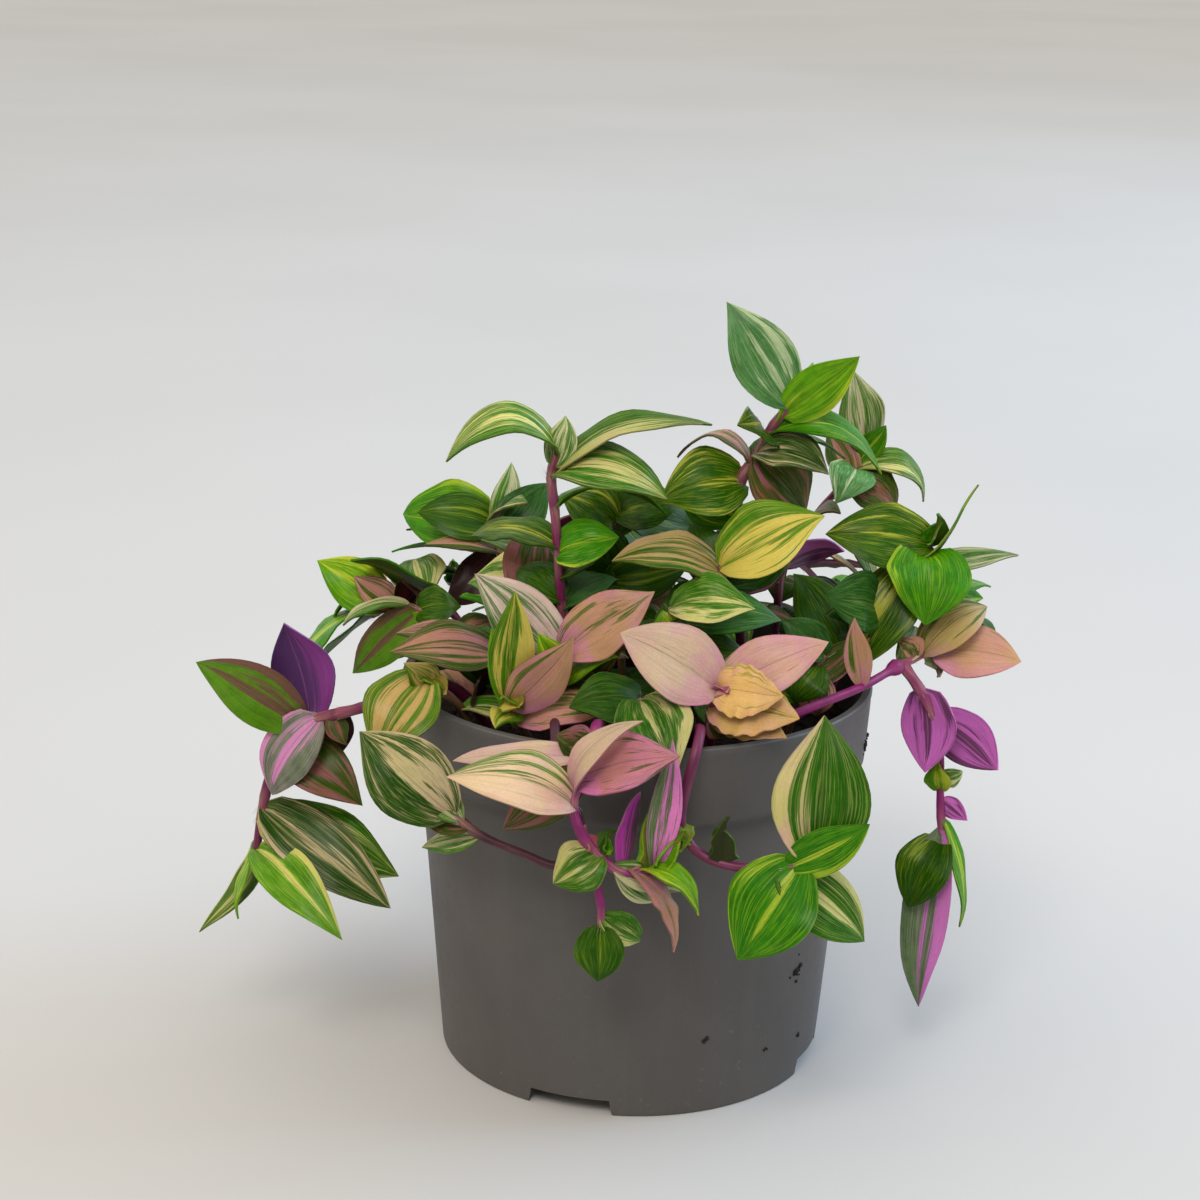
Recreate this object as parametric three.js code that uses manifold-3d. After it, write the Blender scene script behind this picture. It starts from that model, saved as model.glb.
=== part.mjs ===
// A potted tradescantia: a nursery pot, its soil and 29 leafy stems that stand in plain holes in the soil.
// Millimetres, +Z up. The origin is the middle of the pot's foot, and -Y is the front.

import * as THREE from 'three';
import { mergeVertices } from 'three/addons/utils/BufferGeometryUtils.js';
import Module from 'manifold-3d';

const wasm = await Module();
wasm.setup();

// ---- Driving dimensions ----

const pot = {
  height: 100, rimRadius: 60, lipWidth: 2.4, lipHeight: 1.2,
  collarFoot: 80.5, collarRadius: 58.8, shoulderHeight: 79, shoulderRadius: 55.7,
  footRadius: 49.5, footWidth: 2.3, footSlope: 1, wall: 1.5,
  floorUnder: 4.5, floorOver: 6.2, dishRadius: 18, dishSlope: 4, dishWall: 1, sides: 32,
  notches: 4, notchFoot: 23, notchTop: 20.5, notchHeight: 4.2, notchTurn: -17, notchMargin: 3,
  drains: 6, drainRadius: 4, drainRing: 35, drainSides: 8,
};

const soil = { gap: 0.3, edgeHeight: 86.5, edgeSlope: 1, middleHeight: 89, holeFoot: 67.5, holeSides: 5 };

const stem = { sides: 5, step: 10, rootFoot: 68, rootMiddle: 80, rootTop: 89.5, straightTop: 92.5, holeGap: 0.4 };

// Blades are pointed at both ends. Leaves at one point of a stem sit a little lower on it, one after the other.
const blade = {
  thickness: 0.8, fold: 20, droop: 0.22, roundness: 0.8, bend: 0.85, clearance: 0.3, spacing: 3,
  stations: [0, 0.2, 0.6, 1], outerStations: [0.2, 0.6, 1], across: [-1, 0, 1],
};

const nearZero = 1e-3;

// Turns that a leaf may make at its base to stay clear of other stems, in degrees, and its size then.
const turning = {
  angles: [0, 7, -7, 14, -14, 22, -22, 30, -30, 40, -40],
  sizes: [{ size: 1, cost: 0 }, { size: 0.85, cost: 20 }, { size: 0.7, cost: 40 }],
};

// ---- The leafy stems ----
// root: where the stem stands in the soil. route: the points that it passes, and a branch leaves it at a point.
// A leaf is [point of the route, tip from there, width, way its upper face looks, height of its arch].

const shownStems = [
  {
    name: 'stem_tall_right', colour: 0x4f8a3a, thickness: 2.9, root: [28, -2],
    route: [[26, -4, 110], [24, -7, 130], [24, -8, 143], [24, -8, 152], [28, -8, 159], [32, -8, 167], [36, -8, 172]],
    leaves: [
      [6, [-16, 3, 25], 16, [0, -1, 0.1], 3],
      [6, [9, -4, 19], 12, [-0.3, -1, 0.1], 1],
      [6, [3, 2, 12], 7, [0.6, -1, 0], 1],
      [6, [25, 1, -9], 12, [0, -0.4, 1], 8],
      [6, [-13, -10, -3], 13, [0.1, -0.7, 1], 3],
      [6, [9, -9, -10], 13, [0.3, -0.8, 0.9], 5],
      [6, [16, 8, -9], 13, [0, 0, 1], 6],
      [4, [17, 5, -9], 17, [0.1, -1, 0.4], 3],
      [4, [-20, 6, -2], 10, [0, 0, 1], 7],
      [3, [-20, -5, -3], 20, [-0.2, -1, 0.8], 4],
      [1, [16, 6, 6], 16, [0, -0.6, 1], 4],
      [2, [-15, 5, 7], 14, [0, -1, 0.4], 2],
    ],
  },
  {
    name: 'stem_front_middle', colour: 0xd9a9a0, thickness: 2.8, root: [18, -36],
    route: [[18, -39, 98], [18, -42, 104], [19, -46, 111]],
    leaves: [
      [2, [-23, -4, 15], 19, [0.1, -1, 0.7], 2],
      [2, [26, 2, 12], 15, [0, -1, 0.9], 3],
      [2, [19, -9, -4], 16, [0, -1, 0.9], 2],
      [1, [6, 1, -6], 10, [0, -1, 0.3], 1],
      [2, [15, -9, 1], 10, [0, -0.9, 1], 1],
    ],
  },
  {
    name: 'stem_front_trailing', colour: 0xd8a287, thickness: 3, root: [-8, -44],
    route: [
      [-8, -48, 100], [-9, -55, 104.5], [-10, -63, 102], [-13, -69, 95], [-14, -71, 90],
      [-12, -72, 84], [-8, -71, 78], [-2, -71, 74], [5, -71, 75],
    ],
    branches: [{ from: 6, thickness: 2.2, route: [[-8, -73, 72], [-7, -73, 66], [-7, -72, 61]] }],
    leaves: [
      [4, [-29, -3, 8], 16, [0, -0.8, 1], 6],
      [4, [15, -2, 23], 8, [-0.8, -0.6, 0.4], 6],
      [4, [24, -6, 15], 16, [-0.1, -0.8, 1], 3],
      [4, [-16, 4, -8], 12, [0, -1, 0.3], 1],
      [4, [-28, 3, 10], 8, [0, -0.6, 1], 1],
      [4, [-5, 6, 13], 9, [0, -1, 0.2], 1],
      [6, [-10, -4, -6], 13, [-0.2, -1, 0.5], 2],
      [7, [3, 2, 20], 6, [-0.8, 1, 0], 1],
      [7, [14, 3, -5], 7, [0, -1, 0.4], 1],
      [8, [4, 3, 31], 8, [0.3, -1, 0], 1],
      [8, [11, -4, -9], 8, [0.6, -0.5, 1], 5],
      [8, [7, -2, -18], 7, [1, -0.3, 0.5], 4],
      [8, [4, 2, -11], 8, [0, -1, 0.2], 1],
      [11, [0, -3, -13], 12, [-0.2, -1, 0.1], 1],
      [11, [3, 1, -11], 8, [0.4, -1, 0.1], 1],
    ],
  },
  {
    name: 'stem_front_right', colour: 0x6fae3a, thickness: 2.9, root: [13, -43],
    route: [
      [14, -50, 101], [15, -57, 104.5], [14, -63, 101], [12, -65, 93], [11, -66, 85],
      [14, -67, 79], [21, -69, 76], [31, -71, 76], [42, -71, 78],
    ],
    leaves: [
      [8, [2, 8, 33], 23, [0, -1, 0.3], 3],
      [8, [-17, -6, -23], 22, [-0.3, -1, 0.6], 3],
      [8, [12, -5, 11], 11, [0.2, -1, 0.3], 2],
      [8, [11, 4, -24], 16, [0.5, -1, 0.3], 3],
    ],
  },
  {
    name: 'stem_front_left_low', colour: 0x4d6b33, thickness: 2.6, root: [-18, -42],
    route: [
      [-19, -48, 101], [-19, -56, 104.5], [-18, -63, 100], [-14, -65, 89], [-12, -65, 80],
      [-17, -65, 73], [-26, -63, 75], [-36, -60, 78], [-43, -57, 82],
    ],
    leaves: [
      [8, [-22, 5, 19], 20, [-0.3, -1, 0.5], 4],
      [8, [-12, 3, 17], 10, [0.5, -1, 0.3], 1],
      [8, [-7, 2, -3], 6, [0, -0.6, 1], 0],
      [8, [-9, 9, -7], 6, [0, -1, 0.3], 1],
    ],
  },
  {
    name: 'stem_rim_left', colour: 0xcdbb55, thickness: 2.4, root: [-40, -28],
    route: [[-44, -31, 101], [-51, -36, 108]],
    leaves: [
      [1, [-11, -14, -15], 19, [-0.2, -1, 0.7], 4],
      [1, [-4, -5, 6], 8, [0, -1, 0.4], 1],
      [1, [-13, -4, -1], 9, [0, -0.6, 1], 2],
    ],
  },
  {
    name: 'stem_front_pale', colour: 0xd0b39a, thickness: 2.8, root: [-17, -28],
    route: [[-18, -31, 99], [-18, -35, 107], [-18, -38, 116]],
    leaves: [
      [2, [22, 0, 16], 16, [-0.2, -1, 0.8], 2],
      [2, [-18, 2, 22], 16, [0.2, -1, 0.6], 2],
      [2, [-6, -4, 6], 8, [0, -0.8, 0.6], 1],
      [2, [13, -3, 2], 8, [0, -0.6, 1], 2],
      [1, [12, -2, -1], 10, [0.4, -1, 0.3], 1],
      [1, [15, 3, 10], 7, [0.3, -1, 0.2], 1],
    ],
  },
  {
    name: 'stem_front_upright', colour: 0xa9b24c, thickness: 2.4, root: [-26, -34],
    route: [[-28, -37, 98], [-31, -42, 106]],
    leaves: [
      [1, [2, -1, 27], 11, [0.2, -1, 0], 1],
      [1, [9, 1, 21], 13, [0.3, -1, 0], 2],
      [1, [-3, -6, -6], 8, [-0.3, -1, 0.8], 1],
      [1, [22, -9, -2], 12, [0, -0.8, 1], 3],
      [1, [-4, 6, 20], 9, [-0.2, -1, 0], 1],
    ],
  },
  {
    name: 'stem_middle_yellow', colour: 0xc9c23f, thickness: 2.8, root: [14, -10],
    route: [[18, -14, 113], [20, -18, 124], [20, -20, 134]],
    leaves: [
      [2, [24, -2, 15], 20, [-0.1, -1, 0.9], 3],
      [2, [-27, -8, 4], 16, [0, -0.5, 1], 5],
      [2, [-8, 8, 9], 12, [0, -1, 0.6], 2],
      [1, [-16, -6, -3], 13, [0, -0.7, 1], 3],
    ],
  },
  {
    name: 'stem_middle_striped', colour: 0x5d8436, thickness: 2.4, root: [6, -22],
    route: [[7, -25, 105], [8, -28, 117], [8, -30, 126]],
    leaves: [
      [2, [20, -5, 2], 14, [0, -0.9, 1], 4],
      [2, [27, 4, -3], 14, [0, -0.8, 1], 3],
      [1, [-3, -3, 8], 9, [0, -1, 0.3], 1],
      [1, [-10, -1, 6], 10, [0, -0.8, 0.8], 2],
      [1, [20, 2, -4], 14, [0, -1, 0.6], 3],
    ],
  },
  {
    name: 'stem_front_dark', colour: 0x3d6b2a, thickness: 2.6, root: [1, -33],
    route: [[1, -36, 99], [1, -40, 104], [1, -45, 107]],
    leaves: [
      [2, [11, -21, -8], 19, [0.2, -1, 0.9], 4],
      [2, [-15, -6, -9], 15, [-0.2, -1, 0.8], 3],
      [0, [-11, -12, -4], 9, [0, -0.8, 1], 2],
      [0, [2, -14, -3], 9, [0, -0.8, 1], 2],
      [1, [-10, -5, 2], 10, [0, -0.8, 1], 2],
    ],
  },
  {
    name: 'stem_left_trailing', colour: 0x6d7f3f, thickness: 3, root: [-38, -19],
    route: [
      [-46, -24, 103], [-58, -26, 102.5], [-67, -24, 97], [-76, -20, 93], [-84, -16, 89],
      [-90, -14, 84], [-93, -14, 73], [-95, -15, 63], [-96, -16, 55],
    ],
    leaves: [
      [4, [-25, -4, 18], 15, [0.2, -1, 0.5], 2],
      [4, [-5, 3, 26], 17, [0.2, 1, 0], 3],
      [4, [-8, -6, -17], 16, [-0.5, -1, 0.4], 4],
      [5, [21, -13, -13], 15, [-0.2, -0.8, 0.8], 4],
      [7, [36, -6, -12], 19, [0.2, -1, 0.8], 3],
      [7, [29, -12, -26], 17, [0.4, -1, 0.5], 3],
      [8, [-6, -3, -18], 7, [-1, -0.3, 0.3], 1],
      [8, [-21, -4, -18], 8, [0.2, -0.5, 1], -5],
      [3, [4, -5, -6], 6, [0, -1, 0.3], 0],
      [3, [-1, 3, -18], 9, [-0.4, 1, 0], 1],
    ],
  },
  {
    name: 'stem_right_long', colour: 0xc4867c, thickness: 2.7, root: [26, -34],
    route: [[32, -38, 99], [40, -37, 103], [55, -26, 106], [66, -13, 108], [74, -7, 110]],
    branches: [
      {
        from: 3, thickness: 2.5,
        route: [[71, -13, 101], [75, -12, 93], [77, -11, 84], [78, -10, 71], [79, -10, 60]],
      },
    ],
    leaves: [
      [4, [22, -4, -1], 16, [0.1, -1, 0.9], 2],
      [4, [17, 6, 3], 13, [0, -0.8, 1], 5],
      [4, [-9, -4, 4], 9, [0, -1, 0.6], 1],
      [2, [-3, 2, 17], 7, [0, -1, 0.2], 1],
      [4, [-3, 4, 9], 7, [0, -1, 0.4], 1],
      [5, [2, -5, -20], 15, [0.6, 1, 0], 3],
      [6, [16, -4, -12], 15, [0.1, 1, 0.3], 3],
      [6, [4, -8, -9], 12, [0, 1, 0.2], 1],
      [8, [7, -1, -5], 6, [0, 1, 0.3], 0],
      [8, [-2, -3, 11], 7, [-0.4, -1, 0], 1],
      [8, [5, -1, 9], 6, [0.5, -1, 0], 1],
      [9, [-8, -6, -17], 15, [-0.6, -1, 0.3], 4],
      [9, [-5, -4, -45], 13, [-0.5, -1, 0], 3],
      [9, [7, -2, -23], 7, [1, -0.5, 0.2], 2],
    ],
  },
  {
    name: 'stem_right', colour: 0x4f9a2e, thickness: 2.6, root: [48, -4],
    route: [[52, -6, 108], [60, -6, 120], [66, -4, 128], [73, 0, 135]],
    leaves: [
      [3, [-27, -4, 4], 18, [0, -1, 0.7], 3],
      [3, [-2, -16, -16], 22, [0.2, -1, 0.8], 5],
      [3, [-16, -10, -32], 17, [-0.3, -1, 0.6], 4],
      [3, [10, 3, 16], 7, [-1, 0.3, 0.4], -3],
      [3, [23, 8, 1], 9, [0, -0.4, 1], 2],
      [3, [16, 6, -8], 10, [0.2, -1, 0.4], 2],
      [1, [-17, -3, 3], 16, [0, -1, 0.5], 3],
    ],
  },
  {
    name: 'stem_left_rim', colour: 0x9a9a52, thickness: 2.4, root: [-30, -14],
    route: [[-33, -18, 102], [-35, -22, 110]],
    leaves: [
      [1, [-25, -12, 1], 15, [0, -0.9, 1], 4],
      [1, [-24, -4, 8], 12, [0, -0.6, 1], 3],
      [1, [-9, -8, -9], 11, [0, 1, 0.6], 1],
      [1, [-10, 4, 11], 13, [0, -0.8, 0.8], 2],
    ],
  },
  {
    name: 'stem_tall_middle', colour: 0x86a55a, thickness: 2.7, root: [-14, -12],
    route: [[-17, -16, 110], [-19, -20, 124], [-20, -20, 136], [-21, -20, 147], [-22, -20, 156], [-21, -20, 161]],
    leaves: [
      [5, [-27, -6, 0], 14, [0, -0.4, 1], 11],
      [5, [3, 3, 9], 8, [0, -1, 0.2], 1],
      [5, [38, 8, 7], 10, [0, -0.3, 1], 8],
      [4, [29, -4, 3], 17, [0, -0.5, 1], 6],
      [3, [28, 10, -2], 13, [0, 0.3, 1], 6],
      [1, [-12, 8, 6], 12, [0, -0.8, 1], 3],
      [2, [15, -2, 5], 13, [0, -0.9, 0.8], 3],
    ],
  },
  {
    name: 'stem_back_left_striped', colour: 0x6c7f45, thickness: 2.3, root: [-24, 2],
    route: [[-22, -2, 112], [-24, -4, 128], [-26, -2, 136]],
    leaves: [
      [2, [-5, -14, -13], 13, [0, -1, 0.8], 4],
      [2, [13, -8, -17], 14, [0.4, -1, 0.6], 3],
      [2, [11, 2, 6], 9, [0, 0.5, 1], 2],
      [2, [-14, -5, -1], 8, [0, -0.3, 1], 2],
      [0, [-12, -8, 6], 12, [0, -0.8, 1], 3],
    ],
  },
  {
    name: 'stem_back_left', colour: 0x5c9a33, thickness: 2.3, root: [-30, 14],
    route: [[-34, 18, 112], [-37, 25, 125], [-39, 33, 131]],
    leaves: [
      [2, [-26, 8, -2], 19, [-0.3, -1, 0.6], 3],
      [2, [-20, -6, 3], 14, [0, -1, 0.8], 3],
      [2, [5, 3, 15], 9, [0.3, -1, 0], 1],
      [2, [14, 2, 10], 13, [0, -1, 0.4], 2],
      [2, [-17, -12, -2], 8, [0, -0.2, 1], 2],
      [1, [-14, -6, -15], 12, [0.5, 1, 0], 3],
    ],
  },
  {
    name: 'stem_left_high', colour: 0x74a03c, thickness: 2.2, root: [-42, 2],
    route: [[-48, 8, 106], [-57, 14, 111], [-66, 22, 109]],
    leaves: [
      [2, [-19, 3, 12], 14, [0, -1, 0.5], 2],
      [2, [-9, -4, 9], 9, [0, -1, 0.6], 1],
      [2, [10, -8, 6], 11, [0, 1, 0.6], 3],
      [2, [-12, -9, -1], 6, [0, -0.2, 1], 3],
      [2, [-9, -6, -17], 12, [-0.4, -1, 0.2], 2],
      [2, [-3, -8, -14], 9, [0.3, -1, 0.3], 1],
      [1, [10, -6, 6], 12, [0, -0.8, 0.6], 2],
    ],
  },
  {
    name: 'stem_back_right', colour: 0x5f8f49, thickness: 2.3, root: [34, 12],
    route: [[36, 14, 110], [37, 15, 124], [47, 28, 137], [57, 40, 144], [59, 42, 150]],
    leaves: [
      [4, [-4, 2, 21], 13, [0.3, -1, 0.2], 2],
      [4, [4, -3, 8], 7, [0, -1, 0.2], 0],
      [4, [20, 2, -6], 11, [0, -0.5, 1], 8],
      [4, [-7, -3, 7], 10, [0.5, -1, 0.3], 1],
      [3, [-12, -10, -5], 13, [-0.4, -1, 1], 4],
      [3, [12, -8, -3], 14, [0.3, -1, 0.8], 4],
      [1, [16, 5, 5], 13, [0, 1, 1], 2],
      [1, [-14, 6, 5], 14, [0, -0.8, 1], 3],
    ],
  },
  {
    name: 'stem_right_low', colour: 0x3f7040, thickness: 2.2, root: [38, -20],
    route: [[41, -21, 103], [46, -20, 112]],
    leaves: [
      [1, [-11, -2, 10], 10, [0, -1, 0.5], 2],
      [1, [-8, -5, -11], 12, [-0.2, -1, 0.4], 2],
      [1, [4, -6, -11], 10, [0.2, -1, 0.4], 2],
      [1, [8, 3, 8], 8, [0, -1, 0.3], 1],
      [1, [-17, -1, 0], 13, [0, -0.8, 0.8], 2],
    ],
  },
  {
    name: 'stem_middle_dark', colour: 0x2f6a2a, thickness: 2.4, root: [-3, -4],
    route: [[-5, -4, 112], [-8, -1, 128], [-6, 3, 141]],
    leaves: [
      [1, [-6, -4, 12], 15, [-0.1, -1, 0.3], 2],
      [1, [14, 0, 12], 14, [0.2, -1, 0.6], 3],
      [1, [-3, -12, -4], 14, [0, -0.8, 1], 3],
      [1, [-16, 3, 6], 13, [0, -1, 0.4], 2],
      [0, [12, -8, 2], 13, [0, -0.8, 1], 3],
      [2, [16, -2, 3], 15, [0.1, -0.9, 0.8], 3],
      [2, [-14, -4, 5], 14, [-0.1, -0.9, 0.8], 3],
      [2, [5, 6, 12], 12, [0, -1, 0.4], 2],
    ],
  },
];

// Stems behind and inside, which lean out from the middle and nod over. One rule with seeded draws makes their leaves.
// way: their direction, in degrees from +X. reach: from the root to the last point.
// rise and fall: the heights of the highest and the last point.
const leaningStems = [
  {
    name: 'stem_lean_right', colour: 0x4c8a35, root: [38, 4],
    way: 36, reach: 46, rise: 118, fall: 112, seed: 11,
  },
  {
    name: 'stem_lean_back_right', colour: 0x55913f, root: [18, 17],
    way: 53, reach: 62, rise: 122, fall: 100, seed: 12,
  },
  {
    name: 'stem_over_back_right', colour: 0x5f8c34, root: [9, 28],
    way: 73, reach: 58, rise: 112, fall: 68, seed: 13,
  },
  {
    name: 'stem_lean_back', colour: 0x4a8238, root: [3, 12],
    way: 92, reach: 50, rise: 124, fall: 108, seed: 14,
  },
  {
    name: 'stem_over_back_left', colour: 0x6a9440, root: [-9, 26],
    way: 106, reach: 59, rise: 112, fall: 62, seed: 15,
  },
  {
    name: 'stem_lean_back_left', colour: 0x4f8a30, root: [-16, 20],
    way: 127, reach: 61, rise: 120, fall: 102, seed: 16,
  },
  {
    name: 'stem_lean_left', colour: 0x568f3a, root: [-42, 18],
    way: 156, reach: 32, rise: 112, fall: 104, seed: 17,
  },
];

const leaning = {
  thickness: 2.3, points: 5, start: 95.5, outPower: 1.4, highestAt: 2 / 3, fallFrom: 0.5,
  pairs: 3, spread: 62, spreadDraw: 24, length: 27, lengthDraw: 9, widthShare: 0.6,
  tilt: -18, tiltDraw: 34, arch: 1, archDraw: 4, faceLean: 0.4, tipLength: 24, tipDrop: 6,
};

// ---- Solids ----

// A closed geometry as a solid. A triangle whose corners have merged to a line is left out.
function toSolid(geometry) {
  const bare = geometry.index ? geometry.toNonIndexed() : geometry.clone();
  bare.deleteAttribute('normal');
  bare.deleteAttribute('uv');
  const merged = mergeVertices(bare, 1e-4);
  const corners = Array.from(merged.index.array);
  const triangles = [];
  for (let i = 0; i < corners.length; i += 3) {
    const triangle = corners.slice(i, i + 3);
    if (new Set(triangle).size === 3) triangles.push(...triangle);
  }
  return new wasm.Manifold(new wasm.Mesh({
    numProp: 3,
    vertProperties: Float32Array.from(merged.attributes.position.array),
    triVerts: Uint32Array.from(triangles),
  }));
}

function toGeometry(solid) {
  const mesh = solid.getMesh();
  const geometry = new THREE.BufferGeometry();
  geometry.setAttribute('position', new THREE.BufferAttribute(Float32Array.from(mesh.vertProperties), 3));
  geometry.setIndex(new THREE.BufferAttribute(Uint32Array.from(mesh.triVerts), 1));
  geometry.computeVertexNormals();
  return geometry;
}

function turned(profile, sides) {
  const outline = profile.map(([radius, height]) => new THREE.Vector2(radius, height));
  const geometry = new THREE.LatheGeometry(outline, sides);
  geometry.rotateX(Math.PI / 2);
  return toSolid(geometry);
}

function upright(radius, foot, top, sides, x, y) {
  const geometry = new THREE.CylinderGeometry(radius, radius, top - foot, sides);
  geometry.rotateX(Math.PI / 2);
  geometry.translate(x, y, (top + foot) / 2);
  return toSolid(geometry);
}

// ---- Pot ----

function makePot() {
  const p = pot;
  const body = turned([
    [0, 0], [p.dishRadius, 0], [p.dishRadius + p.dishSlope, p.floorUnder],
    [p.footRadius - p.footWidth - p.footSlope, p.floorUnder], [p.footRadius - p.footWidth, 0], [p.footRadius, 0],
    [p.shoulderRadius, p.shoulderHeight], [p.collarRadius, p.collarFoot],
    [p.rimRadius, p.height - p.lipHeight], [p.rimRadius, p.height], [p.rimRadius - p.lipWidth, p.height],
    [p.collarRadius - p.wall, p.collarFoot + p.wall], [p.shoulderRadius - p.wall, p.shoulderHeight + p.wall / 2],
    [p.footRadius - p.wall, p.floorOver], [p.dishRadius + p.dishSlope - p.dishWall, p.floorOver],
    [p.dishRadius - p.dishWall, p.floorOver - p.floorUnder], [0, p.floorOver - p.floorUnder],
  ], p.sides);

  const cuts = [];
  for (let i = 0; i < p.notches; i += 1) {
    const outline = new THREE.Shape();
    outline.moveTo(-p.notchFoot / 2, -p.notchMargin);
    outline.lineTo(p.notchFoot / 2, -p.notchMargin);
    outline.lineTo(p.notchTop / 2, p.notchHeight);
    outline.lineTo(-p.notchTop / 2, p.notchHeight);
    const depth = p.footWidth + p.footSlope + 2 * p.notchMargin;
    const notch = new THREE.ExtrudeGeometry(outline, { depth, bevelEnabled: false });
    notch.rotateX(Math.PI / 2);
    notch.translate(0, depth - p.footRadius - p.notchMargin, 0);
    notch.rotateZ(THREE.MathUtils.degToRad(p.notchTurn + (360 / p.notches) * i));
    cuts.push(toSolid(notch));
  }
  for (let i = 0; i < p.drains; i += 1) {
    const way = (2 * Math.PI * (i + 0.5)) / p.drains;
    const x = p.drainRing * Math.cos(way);
    const y = p.drainRing * Math.sin(way);
    cuts.push(upright(p.drainRadius, 0, 2 * p.floorOver, p.drainSides, x, y));
  }
  return cuts.reduce((solid, cut) => solid.subtract(cut), body);
}

// ---- Stems ----

function uprightRoot([x, y]) {
  return [stem.rootFoot, stem.rootMiddle, stem.rootTop, stem.straightTop].map((height) => [x, y, height]);
}

function stemCurve(points) {
  return new THREE.CatmullRomCurve3(points.map((point) => new THREE.Vector3(...point)), false, 'catmullrom', 0.5);
}

function stepsOf(curve) {
  return Math.ceil(curve.getLength() / stem.step);
}

function stemSolid(points, thickness) {
  const curve = stemCurve(points);
  const section = new THREE.Shape();
  for (let i = 0; i < stem.sides; i += 1) {
    const way = (2 * Math.PI * i) / stem.sides;
    const place = [(thickness / 2) * Math.cos(way), (thickness / 2) * Math.sin(way)];
    if (i === 0) section.moveTo(...place);
    else section.lineTo(...place);
  }
  section.closePath();
  const settings = { steps: stepsOf(curve), extrudePath: curve, bevelEnabled: false };
  return toSolid(new THREE.ExtrudeGeometry(section, settings));
}

// A place on a stem's spine, which is straight between its steps: so far back from where it is nearest to a point.
function placeOnSpine(spine, point, back) {
  let nearest = Infinity;
  let at = 0;
  let travelled = 0;
  const spans = spine.slice(1).map((end, i) => new THREE.Line3(spine[i], end));
  for (const span of spans) {
    const share = span.closestPointToPointParameter(point, true);
    const gap = span.at(share, new THREE.Vector3()).distanceTo(point);
    if (gap < nearest) {
      nearest = gap;
      at = travelled + share * span.distance();
    }
    travelled += span.distance();
  }
  let left = Math.max(at - back, 0);
  for (const span of spans) {
    if (left <= span.distance()) return span.at(left / span.distance(), new THREE.Vector3());
    left -= span.distance();
  }
  return spine.at(-1).clone();
}

// ---- Leaves ----

// Half of the blade's width, as a share: round near the base, and pointed at the tip.
function bladeShare(along) {
  return Math.sin(Math.PI * along ** blade.roundness);
}

// A point of the blade: along from 0 at its base to 1 at its tip, across from -1 to 1, lifted off its middle surface.
function bladePoint(leaf, along, across, lift, clearance) {
  const { base, chord, face, width, arch } = leaf;
  const forward = chord.clone().normalize();
  const up = face.clone().addScaledVector(forward, -face.dot(forward)).normalize();
  const side = new THREE.Vector3().crossVectors(forward, up);
  const turn = Math.PI * along ** blade.bend;
  const bow = Math.sin(turn);
  const slope = Math.PI * blade.bend * (along + nearZero) ** (blade.bend - 1) * Math.cos(turn);
  const normal = up.clone().multiplyScalar(chord.length()).addScaledVector(forward, -arch * slope).normalize();
  const half = (width / 2 + clearance) * bladeShare(along);
  const fold = THREE.MathUtils.degToRad(blade.fold);
  return base.clone()
    .addScaledVector(chord, along)
    .addScaledVector(up, arch * bow)
    .addScaledVector(side, half * across)
    .addScaledVector(normal, half * (Math.abs(across) * Math.tan(fold) - across ** 2 * blade.droop) + lift);
}

// The blade as a closed solid. Both faces are one grid, split into triangles alike, and a rim joins them.
function bladeSolid(leaf, stations, clearance) {
  const spans = stations.length - 1;
  const strips = blade.across.length - 1;
  const sheet = new THREE.PlaneGeometry(1, 1, strips, spans);
  const count = sheet.attributes.position.count;
  const places = [];
  for (const side of [1, -1]) {
    for (const along of stations) {
      for (const across of blade.across) {
        const lift = side * (blade.thickness / 2 + clearance);
        places.push(...bladePoint(leaf, along, across, lift, clearance).toArray());
      }
    }
  }
  const upper = Array.from(sheet.index.array);
  const lower = upper.map((vertex) => vertex + count).reverse();
  const border = [];
  for (let i = 0; i < strips; i += 1) border.push(i);
  for (let j = 0; j < spans; j += 1) border.push(strips + j * (strips + 1));
  for (let i = strips; i > 0; i -= 1) border.push(spans * (strips + 1) + i);
  for (let j = spans; j > 0; j -= 1) border.push(j * (strips + 1));
  const rim = border.flatMap((near, i) => {
    const next = border[(i + 1) % border.length];
    return [near, next + count, near + count, near, next, next + count];
  });
  const geometry = new THREE.BufferGeometry();
  geometry.setAttribute('position', new THREE.Float32BufferAttribute(places, 3));
  geometry.setIndex([...upper, ...lower, ...rim].reverse());
  return toSolid(geometry);
}

// ---- Keeping leaves clear of other stems ----

const turns = [];
for (const { size, cost } of turning.sizes) {
  for (const yaw of turning.angles) {
    for (const pitch of turning.angles) {
      turns.push({ size, yaw, pitch, cost: cost + Math.abs(yaw) + Math.abs(pitch) });
    }
  }
}
turns.sort((a, b) => a.cost - b.cost);

function turnedLeaf(leaf, { size, yaw, pitch }) {
  const upright = new THREE.Vector3(0, 0, 1);
  const level = new THREE.Vector3(-leaf.chord.y, leaf.chord.x, 0);
  if (level.length() < nearZero) level.set(1, 0, 0);
  const turn = new THREE.Quaternion().setFromAxisAngle(upright, THREE.MathUtils.degToRad(yaw));
  turn.multiply(new THREE.Quaternion().setFromAxisAngle(level.normalize(), THREE.MathUtils.degToRad(pitch)));
  return {
    ...leaf,
    chord: leaf.chord.clone().multiplyScalar(size).applyQuaternion(turn),
    face: leaf.face.clone().applyQuaternion(turn),
    width: leaf.width * size,
  };
}

function boxed(owner, solid, outer = null) {
  return { owner, solid, outer, box: solid.boundingBox() };
}

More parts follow.
